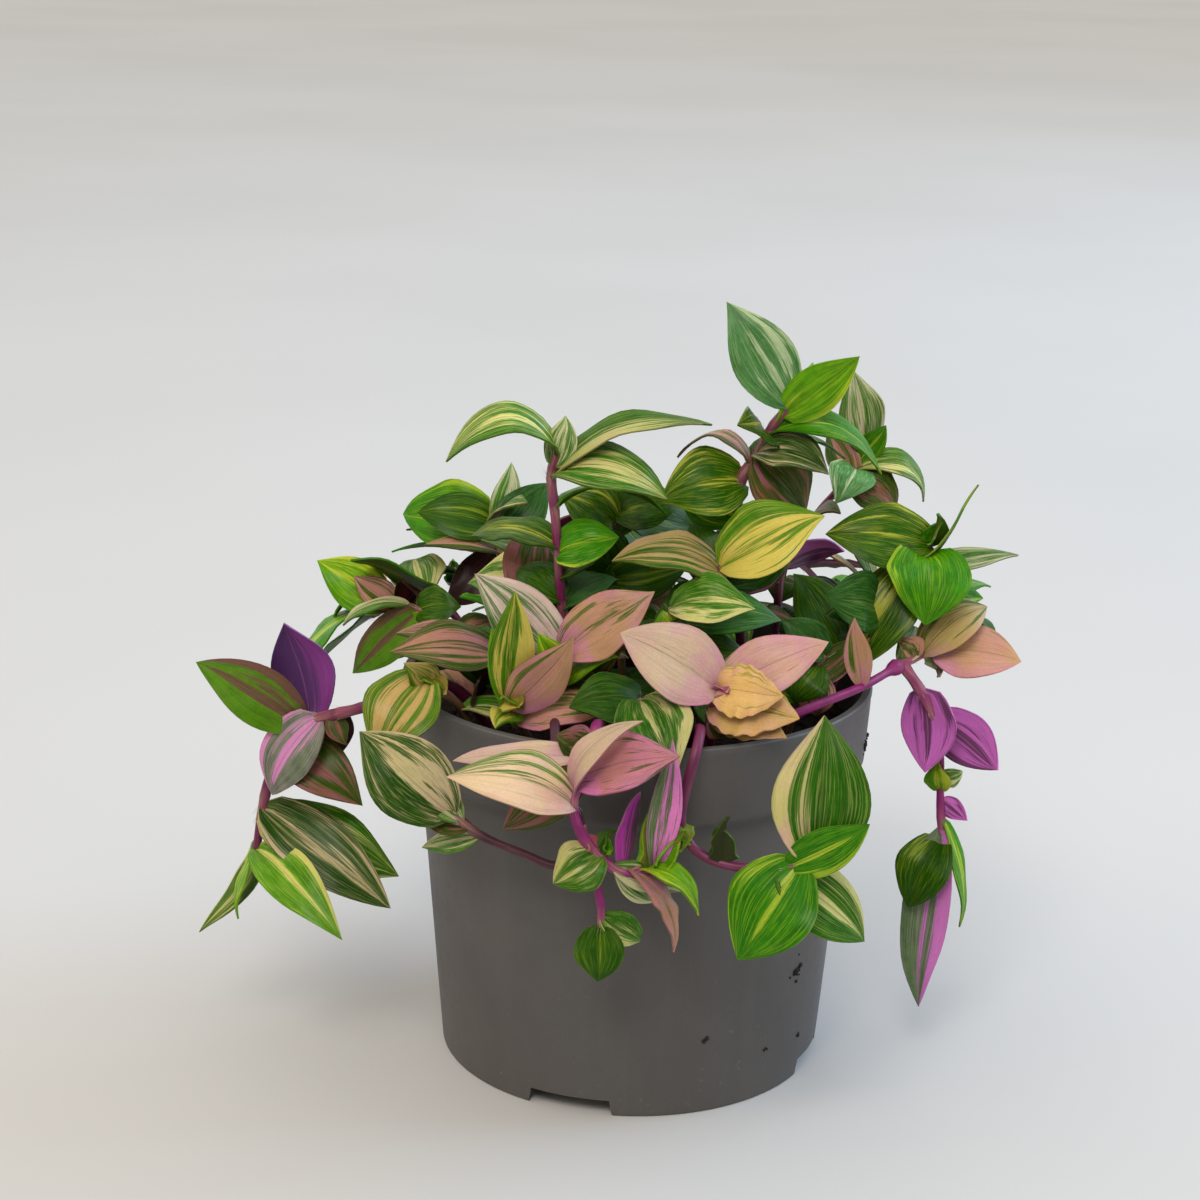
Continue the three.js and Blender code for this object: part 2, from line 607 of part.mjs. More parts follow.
// A leaf may touch its own stem, and other leaves of it near their bases. It stays clear of all other solids.
function touches(wide, outer, obstacle) {
  const box = wide.box;
  const apart = [0, 1, 2].some((k) => box.min[k] > obstacle.box.max[k] || box.max[k] < obstacle.box.min[k]);
  if (apart) return false;
  if (wide.owner !== obstacle.owner) return wide.solid.intersect(obstacle.solid).volume() > 0;
  return obstacle.outer !== null && outer.intersect(obstacle.outer).volume() > 0;
}

function placeLeaf(leaf, owner, obstacles) {
  for (const turn of turns) {
    const placed = turnedLeaf(leaf, turn);
    const wide = boxed(owner, bladeSolid(placed, blade.stations, blade.clearance));
    const outer = bladeSolid(placed, blade.outerStations, blade.clearance);
    if (!obstacles.some((obstacle) => touches(wide, outer, obstacle))) {
      return boxed(owner, bladeSolid(placed, blade.stations, 0), bladeSolid(placed, blade.outerStations, 0));
    }
  }
  return null;
}

// ---- Rule for the leaning stems ----

// Park and Miller's generator, so that a seed always gives the same draws between 0 and 1.
function drawsFrom(seed) {
  let state = seed * 7919;
  return () => {
    state = (state * 16807) % 2147483647;
    return state / 2147483647;
  };
}

function leaningStem({ name, colour, root, way, reach, rise, fall, seed }) {
  const draw = drawsFrom(seed);
  const heading = THREE.MathUtils.degToRad(way);
  const route = [];
  for (let i = 1; i <= leaning.points; i += 1) {
    const share = i / leaning.points;
    const out = reach * share ** leaning.outPower;
    const climbed = Math.sin(Math.min(share / leaning.highestAt, 1) * (Math.PI / 2));
    const height = THREE.MathUtils.lerp(leaning.start, rise, climbed);
    const drop = (rise - fall) * Math.max(0, (share - leaning.fallFrom) / (1 - leaning.fallFrom)) ** 2;
    route.push([root[0] + out * Math.cos(heading), root[1] + out * Math.sin(heading), height - drop]);
  }
  const leaves = [];
  for (let i = 0; i < leaning.pairs; i += 1) {
    const point = leaning.points - 1 - i;
    for (const hand of [-1, 1]) {
      const turn = heading + hand * THREE.MathUtils.degToRad(leaning.spread + leaning.spreadDraw * (draw() - 0.5));
      const length = leaning.length + leaning.lengthDraw * (draw() - 0.5);
      const tilt = THREE.MathUtils.degToRad(leaning.tilt + leaning.tiltDraw * draw());
      const arch = leaning.arch + leaning.archDraw * draw();
      const level = length * Math.cos(tilt);
      const tip = [level * Math.cos(turn), level * Math.sin(turn), length * Math.sin(tilt)];
      const face = [leaning.faceLean * Math.cos(heading), leaning.faceLean * Math.sin(heading), 1];
      leaves.push([point, tip, length * leaning.widthShare, face, arch]);
    }
  }
  const last = [leaning.tipLength * Math.cos(heading), leaning.tipLength * Math.sin(heading), -leaning.tipDrop];
  leaves.push([leaning.points - 1, last, leaning.tipLength * leaning.widthShare, [0, 0, 1], leaning.arch]);
  return { name, colour, root, thickness: leaning.thickness, route, leaves };
}

// ---- The plant ----

const stems = [...shownStems, ...leaningStems.map(leaningStem)];

// Every point that a leaf may grow from, with the spine that it is on: those of the route, and then of the branches.
function leafPoints({ root, route, branches = [] }) {
  const onSpine = (before, points) => {
    const curve = stemCurve([...before, ...points]);
    const spine = curve.getSpacedPoints(stepsOf(curve));
    return points.map((point) => ({ point: new THREE.Vector3(...point), spine }));
  };
  const shoots = branches.flatMap((branch) => onSpine([route[branch.from]], branch.route));
  return [...onSpine(uprightRoot(root), route), ...shoots];
}

function plantLeaves(plant) {
  const points = leafPoints(plant);
  const taken = points.map(() => 0);
  return plant.leaves.map(([place, tip, width, face, arch]) => {
    const { point, spine } = points[place];
    const base = placeOnSpine(spine, point, taken[place] * blade.spacing);
    taken[place] += 1;
    const chord = point.clone().add(new THREE.Vector3(...tip)).sub(base);
    return { base, chord, face: new THREE.Vector3(...face), width, arch };
  });
}

function stemParts(plant) {
  const main = stemSolid([...uprightRoot(plant.root), ...plant.route], plant.thickness);
  const branches = (plant.branches ?? []).map(({ from, thickness, route }) => (
    stemSolid([plant.route[from], ...route], thickness)
  ));
  return [main, ...branches];
}

function makeSoil() {
  const inner = (radius) => radius - pot.wall - soil.gap;
  const dish = pot.floorOver - pot.floorUnder + soil.gap;
  const bed = turned([
    [0, dish], [pot.dishRadius - pot.dishWall - soil.gap, dish],
    [pot.dishRadius + pot.dishSlope - pot.dishWall - soil.gap, pot.floorOver + soil.gap],
    [inner(pot.footRadius), pot.floorOver + soil.gap],
    [inner(pot.shoulderRadius), pot.shoulderHeight + pot.wall / 2],
    [inner(pot.collarRadius), pot.collarFoot + pot.wall + soil.gap],
    [inner(pot.collarRadius), soil.edgeHeight - soil.edgeSlope],
    [inner(pot.collarRadius) - soil.edgeSlope, soil.edgeHeight], [0, soil.middleHeight],
  ], pot.sides);
  const holes = stems.map(({ root, thickness }) => {
    const radius = (thickness / 2 + stem.holeGap) / Math.cos(Math.PI / soil.holeSides);
    return upright(radius, soil.holeFoot, pot.height, soil.holeSides, root[0], root[1]);
  });
  return holes.reduce((solid, hole) => solid.subtract(hole), bed);
}

function named(solid, name, colour, roughness) {
  const material = new THREE.MeshStandardMaterial({ color: colour, roughness, metalness: 0 });
  const mesh = new THREE.Mesh(toGeometry(solid), material);
  mesh.name = name;
  return mesh;
}

const potSolid = makePot();
const soilSolid = makeSoil();
const obstacles = [boxed('pot', potSolid), boxed('soil', soilSolid)];

const parts = new Map(stems.map((plant) => [plant.name, stemParts(plant)]));
for (const [owner, solids] of parts) {
  for (const solid of solids) obstacles.push(boxed(owner, solid));
}

for (const plant of stems) {
  for (const leaf of plantLeaves(plant)) {
    const placed = placeLeaf(leaf, plant.name, obstacles);
    if (placed) {
      parts.get(plant.name).push(placed.solid);
      obstacles.push(placed);
    }
  }
}

const plantPot = new THREE.Group();
plantPot.add(named(potSolid, 'pot', 0x57534f, 0.75));
plantPot.add(named(soilSolid, 'soil', 0x1c1613, 1));
for (const { name, colour } of stems) {
  plantPot.add(named(wasm.Manifold.union(parts.get(name)), name, colour, 0.5));
}

export default plantPot;
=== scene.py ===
# A potted tradescantia: fine blades, stalks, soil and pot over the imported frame.
import math
import random

import bmesh
import bpy
from mathutils import Matrix, Quaternion, Vector, kdtree, noise


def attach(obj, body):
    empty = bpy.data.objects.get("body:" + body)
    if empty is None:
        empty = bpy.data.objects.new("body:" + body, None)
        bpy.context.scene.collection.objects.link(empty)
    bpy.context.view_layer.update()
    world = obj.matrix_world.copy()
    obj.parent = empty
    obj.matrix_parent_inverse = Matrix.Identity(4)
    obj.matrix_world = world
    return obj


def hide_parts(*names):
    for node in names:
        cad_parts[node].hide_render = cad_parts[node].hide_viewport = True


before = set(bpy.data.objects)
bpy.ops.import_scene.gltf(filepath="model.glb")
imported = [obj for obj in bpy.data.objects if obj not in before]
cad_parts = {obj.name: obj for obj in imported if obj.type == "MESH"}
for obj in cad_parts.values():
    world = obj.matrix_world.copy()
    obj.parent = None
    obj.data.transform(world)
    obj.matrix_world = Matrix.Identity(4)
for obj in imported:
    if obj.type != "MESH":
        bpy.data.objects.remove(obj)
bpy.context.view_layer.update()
mm = 0.001
touching = 1e-6  # points nearer than this are one
print("frame loaded:", len(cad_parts), "nodes")


def linear(red, green, blue):
    # a colour as seen on a screen, 0 to 255, as the shader wants it
    def channel(value):
        share = value / 255
        return share / 12.92 if share <= 0.04045 else ((share + 0.055) / 1.055) ** 2.4
    return (channel(red), channel(green), channel(blue), 1.0)


class Wire:
    # one output of a shader node; arithmetic on it adds Math nodes
    def __init__(self, finish, socket):
        self.finish = finish
        self.socket = socket

    def __add__(self, other):
        return self.finish.math("ADD", self, other)

    def __sub__(self, other):
        return self.finish.math("SUBTRACT", self, other)

    def __rsub__(self, other):
        return self.finish.math("SUBTRACT", other, self)

    def __mul__(self, other):
        return self.finish.math("MULTIPLY", self, other)

    def __abs__(self):
        return self.finish.math("ABSOLUTE", self)

    __radd__ = __add__
    __rmul__ = __mul__


class Finish:
    # one material, made from the named values of its surface
    def __init__(self, name, surface, owner=None, shader="Principled BSDF"):
        self.surface = surface
        self.material = owner or bpy.data.materials.new(name)
        self.material.use_nodes = True
        self.tree = self.material.node_tree
        self.shader = self.tree.nodes[shader]
        for key, value in surface["sockets"].items():
            self.plug(self.shader, key, value)

    def plug(self, node, key, value):
        socket = next(s for s in node.inputs if s.enabled and key in (s.identifier, s.name))
        if isinstance(value, Wire):
            self.tree.links.new(value.socket, socket)
        else:
            socket.default_value = value

    def node(self, kind, settings, inputs):
        made = self.tree.nodes.new(kind)
        for key, value in settings.items():
            setattr(made, key, value)
        for key, value in inputs.items():
            self.plug(made, key, value)
        return [Wire(self, s) for s in made.outputs if s.enabled]

    def math(self, operation, *values):
        inputs = dict(zip(("Value", "Value_001"), values))
        return self.node("ShaderNodeMath", {"operation": operation}, inputs)[0]

    def mix(self, share, first, second, blend="MIX"):
        settings = {"data_type": "RGBA", "blend_type": blend, "clamp_factor": True}
        return self.node("ShaderNodeMix", settings, {"Factor": share, "A": first, "B": second})[0]

    def tint(self, colour, name):
        return self.mix(1.0, colour, (*self.surface[name], 1.0), "MULTIPLY")

    def paint(self, name):
        return linear(*self.surface[name])

    def stain(self, colour, value, mark, paint):
        # a second colour over the first, where the value shows that mark
        return self.mix(self.mark(value, mark), colour, self.paint(paint))

    def step(self, value, low, high):
        inputs = {"Value": value, "From Min": low, "From Max": high}
        return self.node("ShaderNodeMapRange", {"interpolation_type": "SMOOTHSTEP"}, inputs)[0]

    def mark(self, value, name):
        # a mark of the surface: where the value begins to show, where it shows in full, and how strongly
        low, high, strength = self.surface[name]
        return self.step(value, low, high) * strength

    def noise(self, name, vector):
        # a noise of the surface: its scale, detail and roughness
        scale, detail, rough = self.surface[name]
        inputs = {"Vector": vector, "Scale": scale, "Detail": detail, "Roughness": rough}
        return self.node("ShaderNodeTexNoise", {}, inputs)[0]

    def place(self, x, y, z):
        return self.node("ShaderNodeCombineXYZ", {}, {"X": x, "Y": y, "Z": z})[0]

    def parts(self, vector):
        return self.node("ShaderNodeSeparateXYZ", {}, {"Vector": vector})

    def attribute(self, name):
        return self.node("ShaderNodeAttribute", {"attribute_name": name}, {})

    def here(self):
        return self.node("ShaderNodeTexCoord", {}, {})[3]

    def cover(self, colour, rough, relief=None):
        self.plug(self.shader, "Base Color", colour)
        self.plug(self.shader, "Roughness", rough)
        if relief:
            strength, distance = self.surface["bump"]
            inputs = {"Height": relief, "Strength": strength, "Distance": distance}
            self.plug(self.shader, "Normal", self.node("ShaderNodeBump", {}, inputs)[0])


def once(items):
    # each item once, in the order in which it first comes
    return list(dict.fromkeys(items))


def newMesh(colours, values):
    # an empty mesh whose points carry these colours and values to the finish
    bm = bmesh.new()
    for name in colours:
        bm.verts.layers.float_color.new(name)
    for name in values:
        bm.verts.layers.float.new(name)
    return bm


def addObject(name, bm, finish=None):
    mesh = bpy.data.meshes.new(name)
    bm.to_mesh(mesh)
    bm.free()
    if finish:
        mesh.materials.append(finish.material)
    made = bpy.data.objects.new(name, mesh)
    bpy.context.scene.collection.objects.link(made)
    return made


def addPiece(name, bm, finish, smoothAngle=None):
    piece = addObject(name, bm, finish)
    piece.data.shade_smooth()
    if smoothAngle is not None:
        piece.data.set_sharp_from_angle(angle=math.radians(smoothAngle))
    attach(piece, "root")
    return piece


def addSpun(outline, steps):
    # an outline of radius and height, in millimetres, turned once round the upright axis
    bm = bmesh.new()
    points = [bm.verts.new((radius * mm, 0, height * mm)) for radius, height in outline]
    edges = [bm.edges.new(pair) for pair in zip(points, points[1:])]
    bmesh.ops.spin(bm, geom=points + edges, cent=(0, 0, 0), axis=(0, 0, 1), angle=math.tau, steps=steps,
                   use_merge=True)
    bmesh.ops.remove_doubles(bm, verts=bm.verts, dist=touching)
    bmesh.ops.recalc_face_normals(bm, faces=bm.faces)
    return bm


# What a leaf looks like: its green, the stripe in it and its underside, then how much of it the stripes
# cover (0 to 1), to which side they lean (below 0 to the left), how far a lilac flush spreads from its base
# (0 to 1) and how much of the stripe's colour its middle takes (below 0 for its green).
# Each colour is the leaf's own, darkened throughout as painted shade for the shade that the leaves cast on
# one another.
leafLooks = {
    "deep": ((38, 80, 0), (122, 142, 34), (78, 30, 50), 0.12, 0.2, 0.0, 0.15),
    "fine": ((44, 88, 0), (164, 166, 56), (80, 48, 46), 0.24, 0.3, 0.0, 0.25),
    # greySheen: a pale bluish green, partly the leaf's own colour and partly painted sheen.
    "greySheen": ((84, 138, 74), (178, 196, 152), (87, 69, 73), 0.24, 0.6, 0.0, 0.8),
    "blue": ((40, 90, 24), (120, 152, 84), (76, 36, 66), 0.12, 0.0, 0.0, 0.1),
    "fresh": ((50, 124, 0), (156, 178, 48), (96, 90, 44), 0.16, 0.6, 0.0, 0.7),
    "bright": ((62, 136, 0), (152, 178, 36), (96, 114, 28), 0.18, 0.4, 0.0, 0.3),
    "lime": ((92, 154, 0), (176, 184, 50), (118, 114, 44), 0.32, 0.3, 0.0, 0.3),
    "margined": ((46, 104, 0), (200, 190, 124), (105, 96, 61), 0.1, -2.0, 0.3, 0.35),
    "edged": ((48, 102, 0), (186, 182, 118), (100, 88, 52), 0.22, -0.9, 0.1, 0.75),
    "bold": ((38, 80, 0), (190, 176, 130), (90, 38, 62), 0.32, 0.4, 0.1, 0.6),
    "striped": ((56, 112, 0), (192, 188, 116), (126, 90, 78), 0.36, 0.5, 0.1, 0.3),
    "cream": ((60, 104, 0), (182, 156, 98), (142, 84, 84), 0.58, 0.4, 0.2, 0.1),
    "sunset": ((62, 110, 7), (202, 176, 142), (162, 87, 91), 0.7, -0.5, 0.3, 0.0),
    "yellow": ((70, 122, 0), (188, 172, 78), (126, 112, 40), 0.52, 0.5, 0.04, 0.0),
    "blush": ((98, 117, 60), (192, 166, 140), (162, 69, 119), 0.86, 0.3, 0.42, 0.0),
    "pink": ((109, 106, 60), (190, 148, 136), (156, 69, 110), 0.9, 0.1, 0.6, 0.0),
    "peach": ((80, 109, 21), (182, 138, 106), (165, 78, 96), 0.76, 0.4, 0.5, 0.0),
    "crinkled": ((146, 144, 39), (198, 160, 100), (167, 100, 80), 0.84, 0.2, 0.3, 0.0),
    "pale": ((70, 120, 24), (186, 184, 140), (126, 88, 90), 0.46, 0.4, 0.14, 0.3),
    "rosy": ((58, 96, 5), (181, 129, 107), (135, 34, 101), 0.5, 0.3, 0.4, 0.2),
    "rose": ((60, 82, 15), (177, 114, 115), (140, 34, 112), 0.68, 0.2, 0.65, 0.1),
    "dusk": ((52, 85, 5), (133, 83, 74), (117, 37, 84), 0.42, 0.3, 0.3, 0.3),
    "brown": ((54, 80, 8), (134, 84, 67), (110, 34, 64), 0.4, 0.2, 0.35, 0.2),
    "flushed": ((92, 144, 14), (108, 72, 62), (96, 36, 64), 0.3, 0.9, 0.0, 2.4),
    "violet": ((62, 50, 36), (188, 104, 168), (186, 98, 176), 0.66, 0.2, 0.6, -1.4),
    "mauve": ((76, 109, 53), (208, 116, 180), (185, 61, 165), 0.5, 0.8, 0.5, 0.2),
    "orchid": ((98, 128, 78), (206, 116, 196), (180, 74, 170), 0.34, -1.9, 0.3, 0.1),
    "plum": ((41, 25, 10), (93, 34, 36), (61, 9, 21), 0.3, 0.2, 0.3, 0.1),
    "midnight": ((72, 56, 104), (140, 84, 138), (110, 48, 112), 0.36, -1.3, 0.0, 0.0),
    "lilac": ((102, 112, 90), (184, 120, 166), (160, 60, 144), 0.4, 0.3, 0.1, 1.6),
    "grass": ((84, 140, 4), (188, 184, 100), (110, 120, 50), 0.18, -0.6, 0.0, 0.8),
    "gold": ((84, 128, 0), (192, 160, 98), (126, 108, 40), 0.5, 0.3, 0.02, 0.0),
    "candy": ((70, 118, 40), (204, 182, 168), (162, 69, 119), 0.62, 0.3, 0.3, 0.2),
    "withered": ((126, 102, 60), (176, 131, 108), (137, 73, 78), 0.8, 0.2, 0.5, 0.0),
}

leafSurface = {
    "sockets": {
        "Subsurface Weight": 0.15, "Subsurface Radius": (0.7, 1.0, 0.15), "Subsurface Scale": 0.0012,
        "Specular IOR Level": 0.07, "Coat Weight": 0.1, "Coat Roughness": 0.22,
    },
    # patterns: rate across the blade, rate along it, more of that for a dashed leaf, shift
    "bands": (2.2, 0.3, 0.8, 0.0), "pins": (8.0, 0.7, 2.2, 9.0),
    "streaks": (32.0, 2.0, 4.0, 5.0), "veins": (46.0, 2.0, 0.0, 3.0),
    "bandsNoise": (1.0, 1.0, 0.5), "pinsNoise": (1.0, 1.5, 0.5), "streaksNoise": (1.0, 2.0, 0.5),
    "veinsNoise": (1.0, 1.0, 0.5), "mottle": (300.0, 3.0, 0.6), "cells": (1500.0, 2.0, 0.6),
    "patches": (110.0, 2.0, 0.5), "seedShift": 40.0, "seedDash": 7.3,
    # how much each pattern counts in the stripes, and at which value a stripe begins
    "bandPart": 0.46, "pinPart": 0.32, "streakPart": 0.22, "leanPull": 0.24, "middlePull": (0.2, 0.02, 0.22),
    "middleEnd": (1.0, 0.6, 1.0), "stripeEdge": 0.66, "coverPull": 0.32, "softness": 0.016,
    "haloWidth": 0.09,
    "rib": (0.045, 0.0, 1.0), "margin": (0.94, 1.0, 1.0),
    # the green of the upper face
    "darkTint": (0.46, 0.56, 0.5), "lightShare": 0.28, "mottleShade": (0.35, 0.7, 0.5),
    "veinShade": (0.4, 0.65, 0.35), "bandShade": (0.55, 0.3, 0.4), "streakLight": (0.5, 0.62, 0.75),
    "haloShare": 0.22,
    # the pale stripes and their flush
    "flush": (196, 110, 172), "edgeFlush": (0.45, 1.0, 0.35), "baseFlush": (0.5, 0.0, 0.9), "evenFlush": 0.3,
    "patchMark": (0.4, 0.6, 1.0), "thinStreak": (0.42, 0.62, 0.4), "thinPin": (0.35, 0.6, 1.0),
    "thinGreen": 0.6, "warmMark": (0.4, 0.75, 0.35), "warmTint": (1.0, 0.9, 0.78),
    "ribShare": 0.3, "ribGreen": 0.6, "flushMargin": 0.6, "plainMargin": 0.15,
    "cellMark": (0.35, 0.7, 0.18), "cellTint": (0.6, 0.66, 0.6),
    # the underside
    "backTint": (0.5, 0.5, 0.5), "mainTint": (0.7, 0.7, 0.7), "backGreen": 0.5, "backEdge": (-0.05, 0.04),
    "backStreak": (0.4, 0.62, 0.35), "streakTint": (0.55, 0.5, 0.6), "backRib": 0.35, "backMargin": 0.6,
    "roughness": 0.3, "mottleRough": (0.3, 0.7, 0.12), "backRough": 0.16,
    "veinRelief": 0.3, "pinRelief": 0.3, "mottleRelief": 0.35, "cellRelief": 0.1, "ribRelief": 0.6,
    "bump": (0.6, 0.0006),
}


def makeLeafFinish():
    s = leafSurface
    finish = Finish("leafBlade", s)
    uv = finish.node("ShaderNodeUVMap", {"uv_map": "blade"}, {})[0]
    u, along = finish.parts(uv)[:2]
    across = (u - 0.5) * 2.0
    off = abs(across)
    main, stripe, back = (finish.attribute(name)[0] for name in ("leafMain", "leafStripe", "leafBack"))
    draw = finish.attribute("leafDraw")
    cover, seed, flush = finish.node("ShaderNodeSeparateColor", {}, {"Color": draw[0]})
    lean = draw[3] * 2.0 - 1.0
    under, middle = (finish.attribute(name)[2] for name in ("leafUnder", "leafMiddle"))
    dash = finish.math("FRACT", seed * s["seedDash"])

    def linesAlong(name):
        rate, slow, dashed, shift = s[name]
        vector = finish.place(across * rate, along * (dash * dashed + slow), seed * s["seedShift"] + shift)
        return finish.noise(name + "Noise", vector)

    bands, pins, streaks, veins = (linesAlong(name) for name in ("bands", "pins", "streaks", "veins"))
    mottle = finish.noise("mottle", finish.here())
    cells = finish.noise("cells", finish.here())
    pattern = bands * s["bandPart"] + pins * s["pinPart"] + streaks * s["streakPart"]
    pattern = pattern + lean * across * off * s["leanPull"]
    pattern = pattern + middle * finish.mark(off, "middlePull") * finish.mark(along, "middleEnd")
    edge = s["stripeEdge"] - cover * s["coverPull"]
    mask = finish.step(pattern, edge - s["softness"], edge + s["softness"])
    halo = finish.step(pattern, edge - s["haloWidth"], edge)
    rib = finish.mark(off, "rib")
    margin = finish.mark(off, "margin")

    shade = finish.mark(mottle, "mottleShade") + finish.mark(veins, "veinShade")
    shade = shade + finish.mark(bands, "bandShade")
    green = finish.mix(shade, main, finish.tint(main, "darkTint"))
    green = finish.mix(finish.mark(streaks, "streakLight"), green, finish.mix(s["lightShare"], main, stripe))
    green = finish.mix(halo * s["haloShare"], green, stripe)
    spread = finish.mark(off, "edgeFlush") + finish.mark(along, "baseFlush")
    patches = finish.mark(finish.noise("patches", finish.here()), "patchMark")
    patch = patches * (spread + s["evenFlush"]) * flush
    flushed = finish.mix(patch, stripe, finish.paint("flush"))
    thin = finish.mark(streaks, "thinStreak") * finish.mark(pins, "thinPin")
    paled = finish.mix(thin, flushed, finish.mix(s["thinGreen"], flushed, main))
    paled = finish.mix(finish.mark(mottle, "warmMark"), paled, finish.tint(paled, "warmTint"))
    upper = finish.mix(mask, green, paled)
    upper = finish.mix(rib * s["ribShare"], upper, finish.mix(s["ribGreen"], stripe, main))
    upper = finish.mix(margin * (flush * s["flushMargin"] + s["plainMargin"]), upper, back)
    upper = finish.mix(finish.mark(cells, "cellMark"), upper, finish.tint(upper, "cellTint"))

    duller = finish.mix(s["backGreen"], finish.tint(back, "backTint"), finish.tint(main, "mainTint"))
    low, high = s["backEdge"]
    lower = finish.mix(finish.step(pattern, edge + low, edge + high), duller, back)
    lower = finish.mix(finish.mark(streaks, "backStreak"), lower, finish.tint(lower, "streakTint"))
    lower = finish.mix(margin * s["backMargin"], finish.mix(rib * s["backRib"], lower, stripe), main)
    rough = finish.mark(mottle, "mottleRough") + under * s["backRough"] + s["roughness"]
    relief = veins * s["veinRelief"] + pins * s["pinRelief"] + mottle * s["mottleRelief"]
    relief = relief + cells * s["cellRelief"] - rib * s["ribRelief"]
    finish.cover(finish.mix(under, upper, lower), rough, relief)
    return finish


stalkColours = {
    "plum": (98, 20, 66), "magenta": (126, 12, 96), "rose": (112, 22, 76), "olive": (84, 62, 34),
    "maroon": (64, 16, 38),
}

stalkSurface = {
    "sockets": {
        "Subsurface Weight": 0.08, "Subsurface Radius": (1.0, 0.5, 0.5), "Subsurface Scale": 0.001,
        "Specular IOR Level": 0.4,
    },
    "aroundRate": 2.6, "alongRate": 0.12, "streaks": (1.0, 2.0, 0.5), "blotch": (190.0, 3.0, 0.6),
    "pale": (170, 120, 100), "paleShare": 0.35, "streakMark": (0.45, 0.7, 0.4),
    "blotchMark": (0.45, 0.7, 0.55), "blotchTint": (0.5, 0.42, 0.45),
    "sheathMark": (0.42, 0.6, 1.0), "sheathPale": (196, 164, 124), "sheathDark": (160, 74, 104),
    "sheathShare": 0.34,
    "roughness": 0.38, "blotchRough": 0.16, "streakRelief": 0.6, "blotchRelief": 0.4, "bump": (0.3, 0.0003),
}


def makeStalkFinish():
    s = stalkSurface
    finish = Finish("stalk", s)
    main = finish.attribute("stalkMain")[0]
    joint = finish.attribute("stalkSheath")[2]
    x, y, along = finish.parts(finish.attribute("stalkPlace")[1])
    stretched = finish.place(x * s["aroundRate"], y * s["aroundRate"], along * s["alongRate"])
    streaks = finish.noise("streaks", stretched)
    blotch = finish.noise("blotch", finish.here())
    paler = finish.mix(s["paleShare"], main, finish.paint("pale"))
    colour = finish.mix(finish.mark(streaks, "streakMark"), main, paler)
    colour = finish.mix(finish.mark(blotch, "blotchMark"), colour, finish.tint(main, "blotchTint"))
    sheath = finish.stain(finish.paint("sheathPale"), streaks, "sheathMark", "sheathDark")
    colour = finish.mix(joint * s["sheathShare"], colour, sheath)
    relief = streaks * s["streakRelief"] + blotch * s["blotchRelief"]
    finish.cover(colour, blotch * s["blotchRough"] + s["roughness"], relief)
    return finish


leafShape = {
    "across": 8, "fewestAcross": 4, "along": 14, "fewestAlong": 6, "thickness": 0.5, "roundness": 0.8,
    "bend": 0.85, "droop": 0.22, "fullness": (0.72, 0.95), "tipFullness": 0.12, "baseWidth": 0.14,
    "basePower": 9, "smooth": 50,
    # how far the blade folds along its middle: all along it, more at its base, and shut in a bud
    "fold": 16, "baseFold": 46, "baseFoldEnd": 0.3, "baseFoldPower": 1.5, "shutFold": 45, "mostFold": 1.2,
    "grooveRound": 0.012, "grooveDepth": 0.11, "shutPinch": 0.35,
    # waves and turns, each leaf with its own draw
    "phases": 6.28, "droopDraw": (0.2, 1), "wave": 0.8, "waveDraw": (0.4, 1.3), "waveWidth": 14,
    "waveMost": 1.2, "ripples": (7, 12), "handShift": 1.7, "twist": 9,
    "tipFrom": 0.7, "tipDrop": 1.6, "tipSwing": 1.0, "shadeDraw": (0.82, 1.2), "leanDraw": (1, 1, 0.7),
    "ruffledLooks": ("crinkled", "withered"), "ruffledDetail": 1.8, "ruffledWave": 0.8, "ruffledRipples": 2.6,
    "ruffle": 0.05, "ruffleTurns": 38, "ruffleLean": 3,
    # how a packed leaf is found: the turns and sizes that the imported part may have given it
    "solidLift": 0.4, "solidFold": 20, "spacing": 3, "turns": (0, 7, -7, 14, -14, 22, -22, 30, -30, 40, -40),
    "sizes": ((1, 0), (0.85, 20), (0.7, 40)), "near": 0.06, "checkAlong": (1, 0.6), "firstChecks": 4,
    "enough": 7, "seed": 5, "fineSteps": 200,
}


def smoothPoint(points, share):
    # a place on the smooth line through the points, which passes each one at even shares
    last = len(points) - 1
    place = share * last
    i = min(int(place), last - 1)
    t = place - i
    start, end = points[i], points[i + 1]
    before = points[i - 1] if i > 0 else start * 2 - end
    after = points[i + 2] if i + 2 <= last else end * 2 - start
    leave, arrive = (end - before) * 0.5, (after - start) * 0.5
    square, cube = t * t, t * t * t
    return (start + leave * t + (end * 3 - start * 3 - leave * 2 - arrive) * square
            + (start * 2 - end * 2 + leave + arrive) * cube)


def evenPoints(points, step, fewest=1):
    # places at even distances along the smooth line, about a step apart
    steps = leafShape["fineSteps"]
    fine = [smoothPoint(points, i / steps) for i in range(steps + 1)]
    lengths = [0.0]
    for start, end in zip(fine, fine[1:]):
        lengths.append(lengths[-1] + (end - start).length)
    count = max(fewest, math.ceil(lengths[-1] / step))
    places = []
    i = 0
    for k in range(count + 1):
        goal = lengths[-1] * k / count
        while i < steps - 1 and lengths[i + 1] < goal:
            i += 1
        span = lengths[i + 1] - lengths[i]
        part = min(max((goal - lengths[i]) / span, 0), 1) if span > 0 else 0
        places.append(smoothPoint(points, (i + part) / steps))
    return places


def placeOnSpine(spine, point, back):
    # the place on a stem nearest to the point, and so far back from it
    nearest, at, travelled = math.inf, 0.0, 0.0
    for start, end in zip(spine, spine[1:]):
        span = end - start
        share = min(max((point - start).dot(span) / span.length_squared, 0), 1)
        gap = (start + span * share - point).length
        if gap < nearest:
            nearest, at = gap, travelled + share * span.length
        travelled += span.length
    left = max(at - back, 0)
    for start, end in zip(spine, spine[1:]):
        length = (end - start).length
        if left <= length:
            return start + (end - start) * (left / length)
        left -= length
    return spine[-1].copy()


def asLeaf(base, chord, width, face, arch):
    return {"base": base, "chord": chord, "width": width, "face": Vector(face), "arch": arch}


